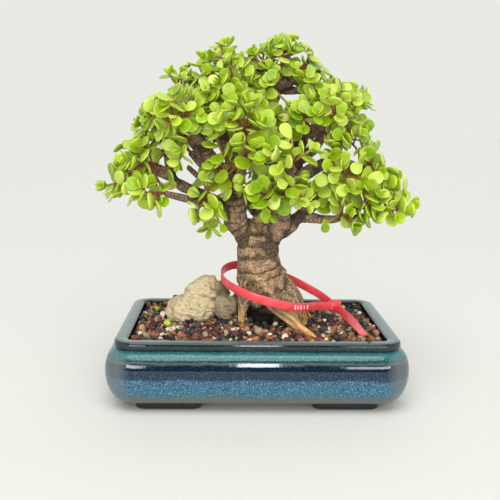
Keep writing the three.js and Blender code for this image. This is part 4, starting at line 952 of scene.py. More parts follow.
strap = {
    "width": 6,
    "thick": 1.1,
    "corner": 0.35,
    "loop": [[58, 6, 56], [44, -5, 58.5], [31, -20, 60.5], [21, -29, 63.5], [9.5, -33, 67], [-3, -31, 70.5],
             [-14, -24, 74], [-22, -13, 77], [-25, -2, 80], [-22.5, 9, 83], [-15, 19, 84], [-3, 26, 82],
             [9, 28, 79], [22, 26, 74.5], [37, 21, 68], [50, 14, 61.5]],
    "tail": [[57, 9, 56], [62, 0, 54], [66, -13, 52], [68.7, -27, 50.4], [70.5, -40, 49.2], [71.5, -51, 48.6]],
    "tailWidth": 0.94,
    "head": {"size": (11, 7.6, 8.4), "turn": 38, "shift": (1.1, -1.4, 0.2), "round": 2.7},
    "windows": [(-3, -3.4, -1.4), (0.2, -3.4, -1.4)],  # of the catch
    "windowSize": (1.5, 3.4, 2.4),
    "ticks": {"first": 0.0995, "pitch": 0.0132, "count": 5, "half": 0.42},
}


def mouldedVinyl():
    # Soft PVC, moulded and stretched: an even bright red with a waxy gloss and faint draw lines.
    finish, tree = blankFinish("mouldedVinyl", **{"Roughness": 0.28, "IOR": 1.53, "Subsurface Weight": 0.08,
                                                  "Subsurface Scale": 0.001})
    place = addNode(tree, "TexCoord")
    cloud = addNode(tree, "TexNoise", {"Vector": place, "Scale": 150, "Detail": 2})
    shade = addNode(tree, "ValToRGB", {"Fac": cloud}, [(0.3, "#D33A3F"), (0.7, "#E34E53")])
    fine = addNode(tree, "TexNoise", {"Vector": place, "Scale": 900, "Detail": 2})
    return covered(finish, shade, fine, 0.12, 0.0003)


def padInk():
    # White pad-printed ink: a thin chalky film that sits a little proud.
    return grainedFinish("padInk", {"Roughness": 0.6}, {"Scale": 1500}, [(0.3, "#EED6D2"), (0.5, "#FBF5F2")])


def strapFrame(points, k, closed, upAt):
    count = len(points)
    before = points[(k - 1) % count] if closed else points[max(k - 1, 0)]
    after = points[(k + 1) % count] if closed else points[min(k + 1, count - 1)]
    way = unit(after - before)
    wish = np.array(upAt(k / (count - 1)))
    tall = unit(wish - way * wish.dot(way))
    return tall, np.cross(tall, way)


def strapSkin(name, points, closed, upAt, roundEnd=0, share=1):
    corner = strap["corner"]
    section = []
    for quarter, (a, b) in enumerate([(1, 1), (-1, 1), (-1, -1), (1, -1)]):
        for step in range(3):
            turn = (quarter + step / 2) * math.pi / 2
            section.append((a * (strap["thick"] / 2 - corner) + corner * math.cos(turn),
                            b * (strap["width"] / 2 - corner) + corner * math.sin(turn)))
    vertices, faces = [], []
    count, ring = len(points), len(section)
    for k in range(count):
        tall, thin = strapFrame(points, k, closed, upAt)
        left = np.linalg.norm(points[-1] - points[k]) if roundEnd else 99
        narrow = math.sqrt(max(1 - (1 - min(left / roundEnd, 1)) ** 2, 0.02)) * share if roundEnd else 1
        vertices += [points[k] + thin * a + tall * b * narrow for a, b in section]
    for k in range(count if closed else count - 1):
        low, high = k * ring, (k + 1) % count * ring
        for i in range(ring):
            j = (i + 1) % ring
            faces.append((low + i, low + j, high + j, high + i))
    if not closed:
        faces.append(tuple(range(ring))[::-1])
        faces.append(tuple((count - 1) * ring + i for i in range(ring)))
    return meshFrom(name, vertices, faces)


def makeStrap():
    ring = np.array(strap["loop"] + strap["loop"][:1], dtype=float)
    loopPoints = np.array([along(ring, k / 150) for k in range(150)])
    upright = lambda share: (0, 0, 1)
    loop = strapSkin("loop", loopPoints, True, upright)
    tailLine = np.array(strap["tail"], dtype=float)
    tailShares = [min(1, 1 - (1 - k / 60) ** 1.3) for k in range(61)]
    tailPoints = np.array([along(tailLine, share) for share in tailShares])

    def lie(share):
        flat = min(1, 1.4 * share)
        return (flat, 0, 1 - flat)

    tail = strapSkin("tail", tailPoints, False, lie, strap["width"] / 2, strap["tailWidth"])
    head = addPlainCube()
    bpy.ops.object.mode_set(mode="EDIT")
    bpy.ops.transform.resize(value=strap["head"]["size"])
    bpy.ops.mesh.bevel(offset=strap["head"]["round"], segments=5, affect="EDGES")
    letGo()
    for place in strap["windows"]:
        cutOrJoin(head, addPlainCube(place, strap["windowSize"]), "DIFFERENCE")
    head.rotation_euler = (0, 0, math.radians(strap["head"]["turn"]))
    head.location = Vector(strap["tail"][0]) + Vector(strap["head"]["shift"])
    takeHold(head)
    bpy.ops.object.transform_apply(location=True, rotation=True, scale=True)
    takeHold(loop, tail, head)
    bpy.ops.object.join()
    turnFacesOut()
    setDown(loop, "vinyl_strap", [mouldedVinyl()], ["tag_strap"], 40)

    # plain scale marks where the strap's print is
    vertices, faces = [], []
    marks = strap["ticks"]
    for mark in range(marks["count"]):
        share = marks["first"] + mark * marks["pitch"]
        centre = along(ring, share)
        way = unit(along(ring, share + 0.004) - along(ring, share - 0.004))
        tall = unit(np.array([0, 0, 1.0]) - way * way[2])
        thin = np.cross(tall, way)
        half = 1.5 if mark % 2 == 0 else 1.1
        start = len(vertices)
        for far in (0.4, 0.68):
            for a, b in ((-1, -1), (1, -1), (1, 1), (-1, 1)):
                vertices.append(centre + thin * far + way * a * marks["half"] + tall * b * half)
        faces += [(start + 3, start + 2, start + 1, start), (start + 4, start + 5, start + 6, start + 7)]
        for i in range(4):
            j = (i + 1) % 4
            faces.append((start + i, start + j, start + 4 + j, start + 4 + i))
    setDown(meshFrom("marks", vertices, faces), "strap_marks", [padInk()])
    print("strap done")


makeStrap()

# Studio settings: the camera also draws the crown's outline

studio = {
    "backdrop": "#E9EAE3",
    # big soft lights, from above, in front and behind: turn, power, spread and whether gloss shows it
    "suns": [((28, -6, 0), 1.6, 50, True), ((56, 8, 0), 1.28, 60, False), ((-52, 12, 0), 0.55, 70, False)],
    # wide soft boxes beside the camera and a small one above it: place, power, width and height
    "boxes": [((-0.56, -1.25, 0.3), 4.6, 0.6, 0.2), ((0.62, -1.25, 0.3), 3.6, 0.7, 0.16),
              ((0.05, -1.42, 0.5), 2.9, 0.13, 0.32)],
    "aim": (0, 0, 0.05),
    "fill": 0.47,
    "mirrored": (0.04, 1.1),  # what gloss reflects: a dim room in front, pale walls beside, above and behind
    "camera": (-19.6, -597.1, 190.6),
    "yaw": 1.44,
    "pitch": 8.79,
    "roll": 0.68,
    "lens": 60.42,
}

# Foliage: round fleshy leaves in crossed pairs on red-brown shoots

foliage = {
    "seed": 2718,
    "leafLength": 11,
    "halfWidth": 0.43,
    "halfThick": 0.1,
    "pairSpacing": 7,
    "shootBase": 1.5,
    "shootTip": 0.8,
    "sideTwig": 5,
    "pairSizes": [0.8, 0.95, 1.05, 1.1, 1.1, 1.1],
    "clearance": 1.2,
    "closeClearance": 0.12,
    "spread": 1.5,  # how far the finer leaves turn their faces out of the crown
    "finerSizes": (1.3, 1.0),  # the finer leaves' size low and high in the crown
    "between": 0.85,  # how big the leaves between two pairs are
    "bud": 0.62,  # how big the two leaves at a shoot's tip are
    "tightClearance": 0.05,
}

# shoots that only the finer growth has, by spray number: the tips of each
finerTips = {
    1: [(-99, -26, 139)],
    2: [(-76, -22, 148), (-66, -18, 144)],
    3: [(-62, -26, 129)],
    11: [(-29, -18, 216)],
    18: [(-33, -20, 122), (-43, -26, 127), (-26, -29, 121)],
    22: [(19, -52, 166)],
    24: [(9, -12, 236)],
    25: [(37, -2, 231), (44, 0, 221)],
    26: [(20, -25, 201)],
    38: [(68, -38, 122), (56, -42, 136), (47, -36, 123)],
    39: [(103, -22, 129)],
    40: [(82, -38, 121)],
}

# The crown from the front, in the plane at `y`: the heights of its top and underside at steps of x, and
# gaps in it that show the limbs behind, as middle x, z and half-sizes.
crown = {"y": -20, "spare": 0.9}  # how far past the outline a leaf may show
crown["top"] = [
    (-113, 140), (-111, 150), (-104, 157), (-98, 170), (-88, 181), (-84, 200), (-77, 204), (-71, 209), (-67, 224),
    (-60, 227), (-44, 227), (-40, 231), (-36, 238), (-31, 241), (-25, 244), (-19, 244), (-14, 238), (-9, 242),
    (1, 242), (6, 248), (23, 249), (29, 241), (35, 240), (40, 231), (46, 225), (51, 219), (61, 217), (72, 214),
    (79, 207), (84, 170), (90, 162), (96, 159), (102, 152), (107, 142), (111, 132),
]
crown["foot"] = [
    (-113, 146), (-108, 141), (-103, 134), (-97, 134), (-92, 139), (-86, 139), (-82, 132), (-76, 128), (-66, 124),
    (-60, 125), (-57, 143), (-53, 143), (-50, 129), (-44, 120), (-36, 112), (-31, 109), (-25, 113), (-19, 125),
    (-12, 132), (-3, 122), (9, 120), (20, 118), (25, 112), (31, 129), (37, 131), (43, 126), (49, 118), (59, 118),
    (65, 112), (70, 114), (81, 118), (98, 119), (107, 121), (111, 122),
]
crown["gaps"] = [
    (-50, 154, 7, 8), (-41, 170, 6, 10), (-28, 172, 5, 5), (-65, 214, 7, 5), (-67, 159, 5, 11), (33, 176, 10, 14),
    (17, 212, 11, 8), (33, 160, 10, 7), (44, 128, 18, 4), (66, 172, 3, 8), (-13, 155, 7, 9), (-55, 139, 9, 4),
    (2, 124, 16, 5), (-14, 132, 6, 6),
]

# each spray: the limb it sits on, at what share of its length, its leaf size and its shoots' tips
sprays = [
    ("leftStub", 0.85, 1, (-105, -21, 145), (-97, -2, 152)),
    ("leftStub", 0.5, 1, (-90, -25, 163)),
    ("leftLower", 1, 1.1, (-66, -34, 138), (-92, -33, 142)),
    ("leftLow", 1, 1, (-70, -20, 179), (-83, 6, 174)),
    ("leftTwin", 1, 1, (-76, -15, 192), (-72, 8, 192)),
    ("leftLimb", 1, 1, (-66, -33, 194)),
    ("leftFront", 1, 1.1, (-49, -52, 197), (-64, -48, 184)),
    ("leftFront", 0.6, 1, (-52, -44, 172)),
    ("upperLeft", 0.6, 0.95, (-62, -6, 221), (-50, 14, 213)),
    ("upperLeft", 1, 1, (-37, -12, 221)),
    ("leftUpright", 0.7, 1, (-36, -29, 209)),
    ("topLeft", 1, 1, (-22, -5, 233), (-24, 15, 228)),
    ("topLeft", 0.6, 1.05, (-27, -29, 216)),
    ("front", 1, 1.1, (-19, -58, 198), (-4, -56, 190)),
    ("front", 0.75, 1.1, (-4, -62, 174)),
    ("front", 0.5, 1, (-31, -46, 185)),
    ("leftLimb", 0.5, 0.85, (-27, -31, 164)),
    ("leftLower", 0.3, 1.2, (-40, -30, 140), (-33, -29, 118)),
    ("frontRight", 0.3, 1, (-11, -45, 150)),
    ("frontRight", 0.45, 0.95, (5, -48, 132)),
    ("frontRight", 0.6, 0.95, (26, -54, 140)),
    ("frontRight", 1, 1.1, (14, -70, 162), (32, -68, 173)),
    ("topTwig", 1, 1, (18, -2, 239), (22, 10, 232)),
    ("topTwig", 0.4, 1, (-4, -9, 235)),
    ("leader", 1, 1, (30, 2, 226), (40, 15, 222)),
    ("leader", 0.8, 1, (7, -29, 216)),
    ("topRight", 1, 1, (50, 1, 213), (56, 20, 206)),
    ("topRight", 0.5, 1, (33, -23, 220)),
    ("rightUpper", 1, 0.95, (73, -13, 206), (62, -32, 205)),
    ("rightFront", 1, 1, (50, -50, 195)),
    ("rightFront", 0.5, 1, (26, -45, 197)),
    ("leader", 0.62, 1.05, (0, -33, 198)),
    ("rightInner", 0.5, 0.95, (16, -33, 179)),
    ("rightUpper", 0.85, 1, (67, -33, 182), (74, -8, 186)),
    ("rightMid", 0.68, 0.95, (47, -40, 168)),
    ("rightMid", 1, 1, (80, -34, 158), (80, -16, 163)),
    ("rightMid", 0.85, 1.15, (58, -46, 149)),
    ("rightLow", 0.72, 1.05, (60, -42, 130)),
    ("rightLow", 1, 1.05, (104, -29, 134), (90, -38, 127)),
    ("rightLow", 0.88, 1, (79, -42, 142)),
    ("rightLowFork", 1, 1, (98, -4, 151), (90, 16, 145)),
    ("rightLowFork", 0.5, 1.2, (40, -35, 144)),
    ("backLeft", 1, 1, (-62, 58, 177), (-74, 42, 160)),
    ("backLeftUp", 1, 1, (-18, 66, 188), (-34, 62, 172)),
    ("backLow", 1, 1, (14, 80, 156), (-8, 76, 148)),
    ("backRight", 1, 1, (76, 58, 180), (82, 42, 162)),
    ("backRightUp", 1, 1, (24, 68, 192), (44, 64, 177)),
    ("backTop", 1, 1, (-8, 50, 216), (-24, 44, 204)),
    ("backTopRight", 1, 1, (42, 36, 214), (18, 40, 222)),
    ("rightBack", 1, 1, (62, 42, 201), (74, 22, 192)),
    ("crossTwig", 1, 1, (-52, 24, 194), (-58, 36, 180)),
]


def dice(*keys):
    # a repeatable share from 0 to 1 for a list of whole numbers
    mixed = foliage["seed"]
    for key in keys:
        mixed = ((mixed ^ (key + 1)) * 2654435761) & 0xffffffff
        mixed ^= mixed >> 15
        mixed = (mixed * 2246822519) & 0xffffffff
        mixed ^= mixed >> 13
    return mixed / 4294967296


upward = np.array([0.0, 0.0, 1.0])


def bentLine(start, bend, end, steps, thick):
    line = []
    for k in range(steps + 1):
        t = k / steps
        place = (1 - t) ** 2 * start + 2 * t * (1 - t) * bend + t * t * end
        line.append([*place, thick * (1 - t) + foliage["shootTip"] * t])
    return np.array(line)


def newShoot(line, size, number, twig, turn):
    return {"line": line, "size": size, "number": number, "twig": twig, "turn": turn}


def turnedAside(ahead, angle):
    across = unit(np.cross(ahead, [0.1, 0, 1]))
    return across * math.cos(angle) + np.cross(ahead, across) * math.sin(angle)


def tipShoot(start, leave, tip, share, size, number, twig):
    # a shoot that leaves its limb one way and bends to a tip
    bend = start + leave * 0.35 * np.linalg.norm(start - tip) + 1.5 * upward
    line = bentLine(start, bend, tip, 3, foliage["shootBase"] * share)
    return newShoot(line, size, number, twig, dice(number, twig))


def growShoots(spray, number):
    limb, share, size, *tips = spray
    points = limbs[limb]
    seat = along(points, share)
    centre, radius = seat[:3], seat[3]
    way = unit((along(points, share + 0.02) - along(points, share - 0.02))[:3])
    shoots = []
    for order, tip in enumerate(tips):
        tip = np.array(tip, dtype=float)
        reach = tip - centre
        leave = unit(reach - way * way.dot(reach))
        start = centre + 0.5 * radius * leave
        if share == 1:
            leave = unit(unit(reach) + 1.2 * way)
            start = centre
        if order > 0:
            main = shoots[0]["line"]
            start = main[1][:3]
            leave = unit((main[2] - main[0])[:3])
        shoots.append(tipShoot(start, leave, tip, 0.8 if order > 0 else 1, size, number, order))
    main = shoots[0]["line"]
    start = main[2][:3]
    ahead = unit((main[3] - main[1])[:3])
    aside = turnedAside(ahead, 2 * math.pi * dice(number, 9))
    length = 11 + 4 * dice(number, 10)
    side = unit(0.8 * aside + 0.6 * ahead + 0.2 * upward)
    line = bentLine(start, start + side * length / 2, start + side * length, 2, 0.7 * foliage["shootBase"])
    shoots.append(newShoot(line, size, number, foliage["sideTwig"], dice(number, 11)))
    return shoots


def pairSeat(shoot, pair):
    # the place and the own axes of a shoot's pair of leaves, counted back from its tip
    line = shoot["line"]
    lengths = np.linalg.norm(np.diff(line[:, :3], axis=0), axis=1)
    left = lengths.sum() - pair * foliage["pairSpacing"] - 1.5
    if left < 4:
        return None
    k = 0
    while left > lengths[k] and k < len(lengths) - 1:
        left -= lengths[k]
        k += 1
    place = line[k] + (line[k + 1] - line[k]) * left / lengths[k]
    ahead = unit((line[k + 1] - line[k])[:3])
    chord = unit((line[-1] - line[0])[:3])
    wish = unit(np.cross(chord, [0.1, 0, 1]))
    across = unit(wish - ahead * ahead.dot(wish))
    return place, ahead, across, np.cross(ahead, across)


def growLeaves(shoot, pairs):
    number, twig = shoot["number"], shoot["twig"]
    leaves = []
    for pair in pairs:
        seat = pairSeat(shoot, pair)
        if seat is None:
            continue
        place, ahead, across, other = seat
        for hand in (0, 1):
            key = (number, twig, int(2 * pair) if pair != int(pair) else int(pair), hand)
            sway = 0.3 * (dice(*key, 1) - 0.5)
            angle = 2 * math.pi * shoot["turn"] + (pair % 2 + 2 * hand + sway) * math.pi / 2
            aside = across * math.cos(angle) + other * math.sin(angle)
            lift = (0.8 if pair == 0 else 0.5) + 0.4 * (dice(*key, 2) - 0.5)
            sizeAt = np.interp(pair, range(6), foliage["pairSizes"])
            length = foliage["leafLength"] * shoot["size"] * sizeAt * (0.9 + 0.25 * dice(*key, 3))
            leaves.append({"root": place[:3], "ahead": ahead, "aside": aside, "lift": lift, "length": length,
                           "number": number, "twig": twig, "tint": dice(*key, 4), "shape": dice(*key, 5)})
    return leaves


def outOfCrown(place):
    # outwards from the crown's middle, level, and never quite backwards at the top
    away = np.array([place[0] - 8, place[1] - 25, 0.35 * (place[2] - 165)])
    return unit(away)


pointShares = [(share, side * width) for share, width in ((0.22, 0.15), (0.45, 0.36), (0.7, 0.4), (0.9, 0.25))
               for side in (-1, 0, 1)] + [(1, 0)]


def leafFrame(leaf, lift):
    u = unit(leaf["aside"] * math.cos(lift) + leaf["ahead"] * math.sin(lift))
    light = leaf["ahead"] + 0.35 * upward + leaf.get("spread", 0) * outOfCrown(leaf["root"])
    n = unit(light - u * u.dot(light))
    v = np.cross(n, u)
    length = leaf["length"]
    points = np.array([leaf["root"] + u * share * length + v * width * length for share, width in pointShares])
    return {**leaf, "u": u, "n": n, "v": v, "centre": leaf["root"] + 0.55 * length * u, "points": points}


class Canopy:
    # what stands in the crown already: wood balls, stems and leaves, held as arrays for quick tests
    def __init__(self, wood):
        self.wood = wood
        self.stems = np.empty((0, 6))
        self.leaves = []
        self.centres = np.empty((0, 3))
        self.axes = np.empty((0, 3, 3))
        self.lengths = np.empty(0)
        self.points = np.empty((0, 13, 3))

    def addStem(self, shoot):
        steps = 3 * (len(shoot["line"]) - 1)
        balls = [[*along(shoot["line"], k / steps), shoot["number"], shoot["twig"]] for k in range(steps + 1)]
        self.stems = np.concatenate([self.stems, balls])

    def stemTouches(self, shoot, spare):
        steps = 3 * (len(shoot["line"]) - 1)
        balls = np.array([along(shoot["line"], k / steps) for k in range(steps + 1)])
        others = self.stems[self.stems[:, 4] != shoot["number"]]
        gaps = np.linalg.norm(balls[:, None, :3] - others[None, :, :3], axis=2)
        if (gaps < balls[:, None, 3] + others[None, :, 3] + spare).any():
            return True
        gaps = np.linalg.norm(balls[:, None, :3] - self.wood[None, :, :3], axis=2)
        return (gaps < balls[:, None, 3] + 1.06 * self.wood[None, :, 3] + spare).any()

    def nearBlade(self, away, radius, axes, length):
        lengthwise, across, up = (np.einsum("...i,...i", away, axes[..., k, :]) for k in range(3))
        far = lengthwise / (0.46 * length + radius)
        wide = across / (foliage["halfWidth"] * length + radius)
        return (np.abs(up) <= foliage["halfThick"] * length + radius) & (far * far + wide * wide < 1)

    def fits(self, leaf, spare):
        points, centre, length = leaf["points"], leaf["centre"], leaf["length"]
        axes = np.array([leaf["u"], leaf["v"], leaf["n"]])
        close = self.wood[np.linalg.norm(self.wood[:, :3] - centre, axis=1) <= self.wood[:, 3] + length]
        if len(close):
            gaps = np.linalg.norm(points[:, None] - close[None, :, :3], axis=2)
            if (gaps < close[None, :, 3] + 1.06 * spare).any():
                return False
        stems = self.stems
        mine = stems[:, 4] == leaf["number"]
        keep = ~(mine & (stems[:, 5] == leaf["twig"]))
        keep &= ~(mine & (np.linalg.norm(stems[:, :3] - leaf["root"], axis=1) < 2.5))
        keep &= np.linalg.norm(stems[:, :3] - centre, axis=1) <= length
        close = stems[keep]
        if len(close) and self.nearBlade(close[:, :3] - centre, close[:, 3] + 0.4, axes, length).any():
            return False
        if len(self.lengths):
            keep = np.linalg.norm(self.centres - centre, axis=1) <= 0.6 * (self.lengths + length) + 2
            if keep.any():
                away = points[None] - self.centres[keep][:, None]
                if self.nearBlade(away, spare, self.axes[keep][:, None], self.lengths[keep][:, None]).any():
                    return False
                if self.nearBlade(self.points[keep] - centre, spare, axes, length).any():
                    return False
        return True

    def addLeaf(self, leaf):
        self.leaves.append(leaf)
        self.centres = np.concatenate([self.centres, [leaf["centre"]]])
        self.axes = np.concatenate([self.axes, [[leaf["u"], leaf["v"], leaf["n"]]]])
        self.lengths = np.append(self.lengths, leaf["length"])
        self.points = np.concatenate([self.points, [leaf["points"]]])


def woodBalls():
    balls = []
    for points in limbs.values():
        steps = 8 * (len(points) - 1)
        balls += [along(points, k / steps) for k in range(steps + 1)]
    balls = np.array(balls)
    return balls[balls[:, 2] > 90]


cadLow = [(cadBox[0][k] - (*potMiddle, 0)[k]) * perMetre + 0.4 for k in range(3)]
cadHigh = [(cadBox[1][k] - (*potMiddle, 0)[k]) * perMetre - 0.4 for k in range(3)]


def insideBox(places):
    return (places >= cadLow).all() and (places <= cadHigh).all()


def insideOutline(places):
    # whether points show inside the crown's outline when seen from the camera's place
    eye, spare = np.array(studio["camera"]), crown["spare"]
    seen = eye + (places - eye) * ((crown["y"] - eye[1]) / (places[:, 1] - eye[1]))[:, None]
    top = np.interp(seen[:, 0], *zip(*crown["top"]), left=-99, right=-99)
    foot = np.interp(seen[:, 0], *zip(*crown["foot"]), left=999, right=999)
    for x, z, halfX, halfZ in crown["gaps"]:
        if (((seen[:, 0] - x) / halfX) ** 2 + ((seen[:, 2] - z) / halfZ) ** 2 < 1).any():
            return False
    return (seen[:, 2] < top + spare).all() and (seen[:, 2] > foot - spare).all()


def tryLeaves(canopy, leaves, spare, changes, finer, outlined=True):
    # adds each leaf at the first change of its lift that keeps it clear of all that stands there
    for leaf in leaves:
        if finer:
            leaf["spread"] = foliage["spread"]
            leaf["length"] *= np.interp(leaf["root"][2], (135, 215), foliage["finerSizes"])
        for change in changes:
            blade = leafFrame(leaf, leaf["lift"] + change)
            if finer and not (insideBox(blade["points"]) and (not outlined or insideOutline(blade["points"]))):
                continue
            if canopy.fits(blade, spare):
                canopy.addLeaf(blade)
                break


def moreShoots(shoot, first, count):
    # short side shoots along a shoot, turned round it in steps
    line, number = shoot["line"], shoot["number"]
    made = []
    for k in range(count):
        twig = first + k
        share = 0.25 + 0.65 * (k + 0.5 * dice(number, twig, 20)) / count
        start = along(line, share)[:3]
        ahead = unit((along(line, share + 0.05) - along(line, share - 0.05))[:3])
        aside = turnedAside(ahead, 2.4 * k + 2 * math.pi * dice(number, twig, 21))
        length = 9 + 8 * dice(number, twig, 22)
        side = unit(0.85 * aside + 0.4 * ahead + 0.25 * upward)
        end = start + side * length + 2 * upward
        twigLine = bentLine(start, start + side * length / 2, end, 2, 0.7 * foliage["shootBase"])
        made.append(newShoot(twigLine, 0.95 * shoot["size"], number, twig, dice(number, twig, 23)))
    return made


def finerShoots(shoots):
    made = []
    for shoot in [shoot for shoot in shoots if shoot["twig"] == 0]:
        number, line = shoot["number"], shoot["line"]
        leave = unit((line[2] - line[0])[:3])
        for order, tip in enumerate(finerTips.get(number + 1, [])):
            tip = np.array(tip, dtype=float)
            made.append(tipShoot(line[1][:3], leave, tip, 0.8, shoot["size"], number, 3 + order))
    return made


def solidsHave(shoot):
    return shoot["twig"] in (0, 1, 2, foliage["sideTwig"])


def trimmed(shoot, leaves):
    # a finer shoot ends at its last leaf, and one that has none goes
    if solidsHave(shoot):
        return shoot
    roots = [leaf["root"] for leaf in leaves
             if (leaf["number"], leaf["twig"]) == (shoot["number"], shoot["twig"])]
    if not roots:
        return None
    shares = np.linspace(0.1, 1, 19)
    spots = np.array([along(shoot["line"], share)[:3] for share in shares])
    last = shares[np.linalg.norm(spots[:, None] - np.array(roots)[None], axis=2).argmin(axis=0)].max()
    return {**shoot, "line": np.array([along(shoot["line"], last * k / 3) for k in range(4)])}


def growFoliage():
    canopy = Canopy(woodBalls())
    shoots = []
    for number, spray in enumerate(sprays):
        grown = growShoots(spray, number)
        kept = [shoot for shoot in grown
                if shoot["twig"] != foliage["sideTwig"] or not canopy.stemTouches(shoot, 0.5)]
        for shoot in kept:
            canopy.addStem(shoot)
        shoots += kept
    for shoot in shoots:
        pairs = [0, 2, 4] if shoot["twig"] == 0 else [0, 1]
        if shoot["twig"] == foliage["sideTwig"]:
            pairs = [0]
        tryLeaves(canopy, growLeaves(shoot, pairs), foliage["clearance"], (0, -0.35, 0.25, -0.7), False)
    print("leaves that the solids have:", len(canopy.leaves))

    # the finer growth between: more shoots, closer pairs, then short shoots with their own pairs
    close, tight = foliage["closeClearance"], foliage["tightClearance"]
    turns = (0, -0.3, 0.3, -0.6, 0.6)
    for shoot in finerShoots(shoots):
        canopy.addStem(shoot)
        shoots.append(shoot)
        tryLeaves(canopy, growLeaves(shoot, [0, 1, 2]), close, turns, True)
    for shoot in list(shoots):
        pairs = [1, 3, 5] if shoot["twig"] == 0 else [2, 3]
        tryLeaves(canopy, growLeaves(shoot, pairs), close, turns, True)
    for shoot in [shoot for shoot in shoots if shoot["twig"] < foliage["sideTwig"]]:
        for twig in moreShoots(shoot, 10 + 10 * shoot["twig"], 6 if shoot["twig"] == 0 else 4):
            if not insideBox(twig["line"][:, :3]) or canopy.stemTouches(twig, 0.2):
                continue
            before = len(canopy.leaves)
            tryLeaves(canopy, growLeaves(twig, [0, 1]), close, turns, True)
            if len(canopy.leaves) > before:
                canopy.addStem(twig)
                shoots.append(twig)
    for shoot in shoots:
        leaves = growLeaves(shoot, [0.5, 1.5, 2.5, 3.5])
        for leaf in leaves:
            leaf["length"] *= foliage["between"]
        tryLeaves(canopy, leaves, tight, turns, True)
    for shoot in shoots:
        bud = {**shoot, "twig": shoot["twig"] + 50, "size": foliage["bud"] * shoot["size"],
               "turn": shoot["turn"] + 0.25}
        leaves = growLeaves(bud, [0])
        for leaf in leaves:
            leaf["twig"] = shoot["twig"]
            leaf["root"] = shoot["line"][-1][:3] - 0.3 * leaf["ahead"]
            leaf["lift"] += 0.35
        tryLeaves(canopy, leaves, tight, turns, True, not solidsHave(shoot))
    shoots = [trimmed(shoot, canopy.leaves) for shoot in shoots]
    shoots = [shoot for shoot in shoots if shoot]
    print("leaves in all:", len(canopy.leaves), "shoots:", len(shoots))
    return shoots, canopy.leaves


def leafShapes():
    # A leaf shaped once, three ways: x across, y out of its face, z from its foot to its tip, length 1.
    shapes = []
    rings = [(0.05, 0.07, 0.055), (0.19, 0.2, 0.075), (0.39, 0.36, 0.085), (0.61, 0.43, 0.085),
             (0.81, 0.37, 0.07), (0.95, 0.21, 0.045)]
    for cup, curl in ((0.1, 0.03), (0.22, 0.0), (0.04, 0.1)):
        letGo()
        bpy.ops.mesh.primitive_uv_sphere_add(segments=10, ring_count=7, radius=1, location=(0, 0, 0))
        leaf = bpy.context.object
        heights = sorted({round(point.co.z, 4) for point in leaf.data.vertices})[1:-1]
        bpy.ops.object.mode_set(mode="EDIT")
        for height, (place, wide, thick) in zip(heights, rings):
            pickOut("VERT", lambda point: abs(point.z - height) < near)
            girth = math.sqrt(1 - height * height)
            bpy.ops.transform.resize(value=(wide / girth, thick / girth, 1), center_override=(0, 0, height))
            bpy.ops.transform.translate(value=(0, curl * place * place, 2 * place - 1 - height))
            for side in (-1, 1):  # the edges rise, so the blade is a shallow spoon
                pickOut("VERT", lambda point: abs(point.z - (2 * place - 1)) < near
                        and side * point.x > 0.6 * wide)
                bpy.ops.transform.translate(value=(0, cup * wide, 0))
        pickOut("VERT", lambda point: point.z > 1 - near)
        bpy.ops.transform.translate(value=(0, curl, 0))
        letGo()
        points = readPoints(leaf)
        points[:, 2] = (points[:, 2] + 1) / 2
        faces = [list(face.vertices) for face in leaf.data.polygons]
        shapes.append((points, faces))
        bpy.data.objects.remove(leaf, do_unlink=True)
    return shapes


def jadeLeaf():
    # Succulent leaf: a plump, waxy blade. The skin is satin, the flesh lets a little light through, and
    # the colour runs from yellow-lime on young leaves to deeper green on old ones.
    finish, tree = blankFinish("jadeLeaf", **{
        "Roughness": 0.32, "IOR": 1.46, "Coat Weight": 0.12, "Coat Roughness": 0.3, "Subsurface Weight": 0.2,
        "Subsurface Scale": 0.0015, "Subsurface Radius": (0.8, 1.0, 0.2)})
    place = addNode(tree, "TexCoord")
    tint = addNode(tree, "Attribute", attribute_name="tint")
    reach = addNode(tree, "Attribute", attribute_name="reach")
    cloud = addNode(tree, "TexNoise", {"Vector": place, "Scale": 330, "Detail": 4, "Roughness": 0.7})
    mixed = addNode(tree, "Math", {0: cloud, 1: 0.9, 2: tint}, operation="MULTIPLY_ADD")
    eased = addNode(tree, "Math", {0: mixed, 1: -0.45})
    blade = addNode(tree, "ValToRGB", {"Fac": eased}, [
        (0.0, "#6F9304"), (0.3, "#8FAD0C"), (0.62, "#A7BE2A"), (0.88, "#B0C450"), (1.0, "#BCC856")])
    foot = addNode(tree, "ValToRGB", {"Fac": reach}, [(0.0, 0.75), (0.22, 0.0)])
    based = addNode(tree, "Mix", {"Factor": foot, 6: blade, 7: linear("#B0BC3C")})
    rim = addNode(tree, "Attribute", attribute_name="rim")
    paler = addNode(tree, "ValToRGB", {"Fac": rim}, [(0.72, 0.0), (1.0, 0.3)])
    edged = addNode(tree, "Mix", {"Factor": paler, 6: based, 7: linear("#CBDB52")})
    skin = addNode(tree, "TexNoise", {"Vector": place, "Scale": 900, "Detail": 2})
    return covered(finish, edged, skin, 0.15, 0.0004)


def jadeStem():
    # Young succulent stem: smooth and waxy, red-brown where it leaves the wood and green-tan at its tip.
    finish, tree = blankFinish("jadeStem", **{"Roughness": 0.5, "IOR": 1.45})
    place = addNode(tree, "TexCoord")
    reach = addNode(tree, "Attribute", attribute_name="reach")
    cloud = addNode(tree, "TexNoise", {"Vector": place, "Scale": 300, "Detail": 3})
    shade = addNode(tree, "ValToRGB", {"Fac": cloud}, [(0.3, "#5C3020"), (0.5, "#82482E"), (0.7, "#A06A40")])
    young = addNode(tree, "ValToRGB", {"Fac": reach}, [(0.4, 0.0), (1.0, 0.8)])
    tipped = addNode(tree, "Mix", {"Factor": young, 6: shade, 7: linear("#8E9434")})
    return covered(finish, tipped, cloud, 0.3, 0.0004)


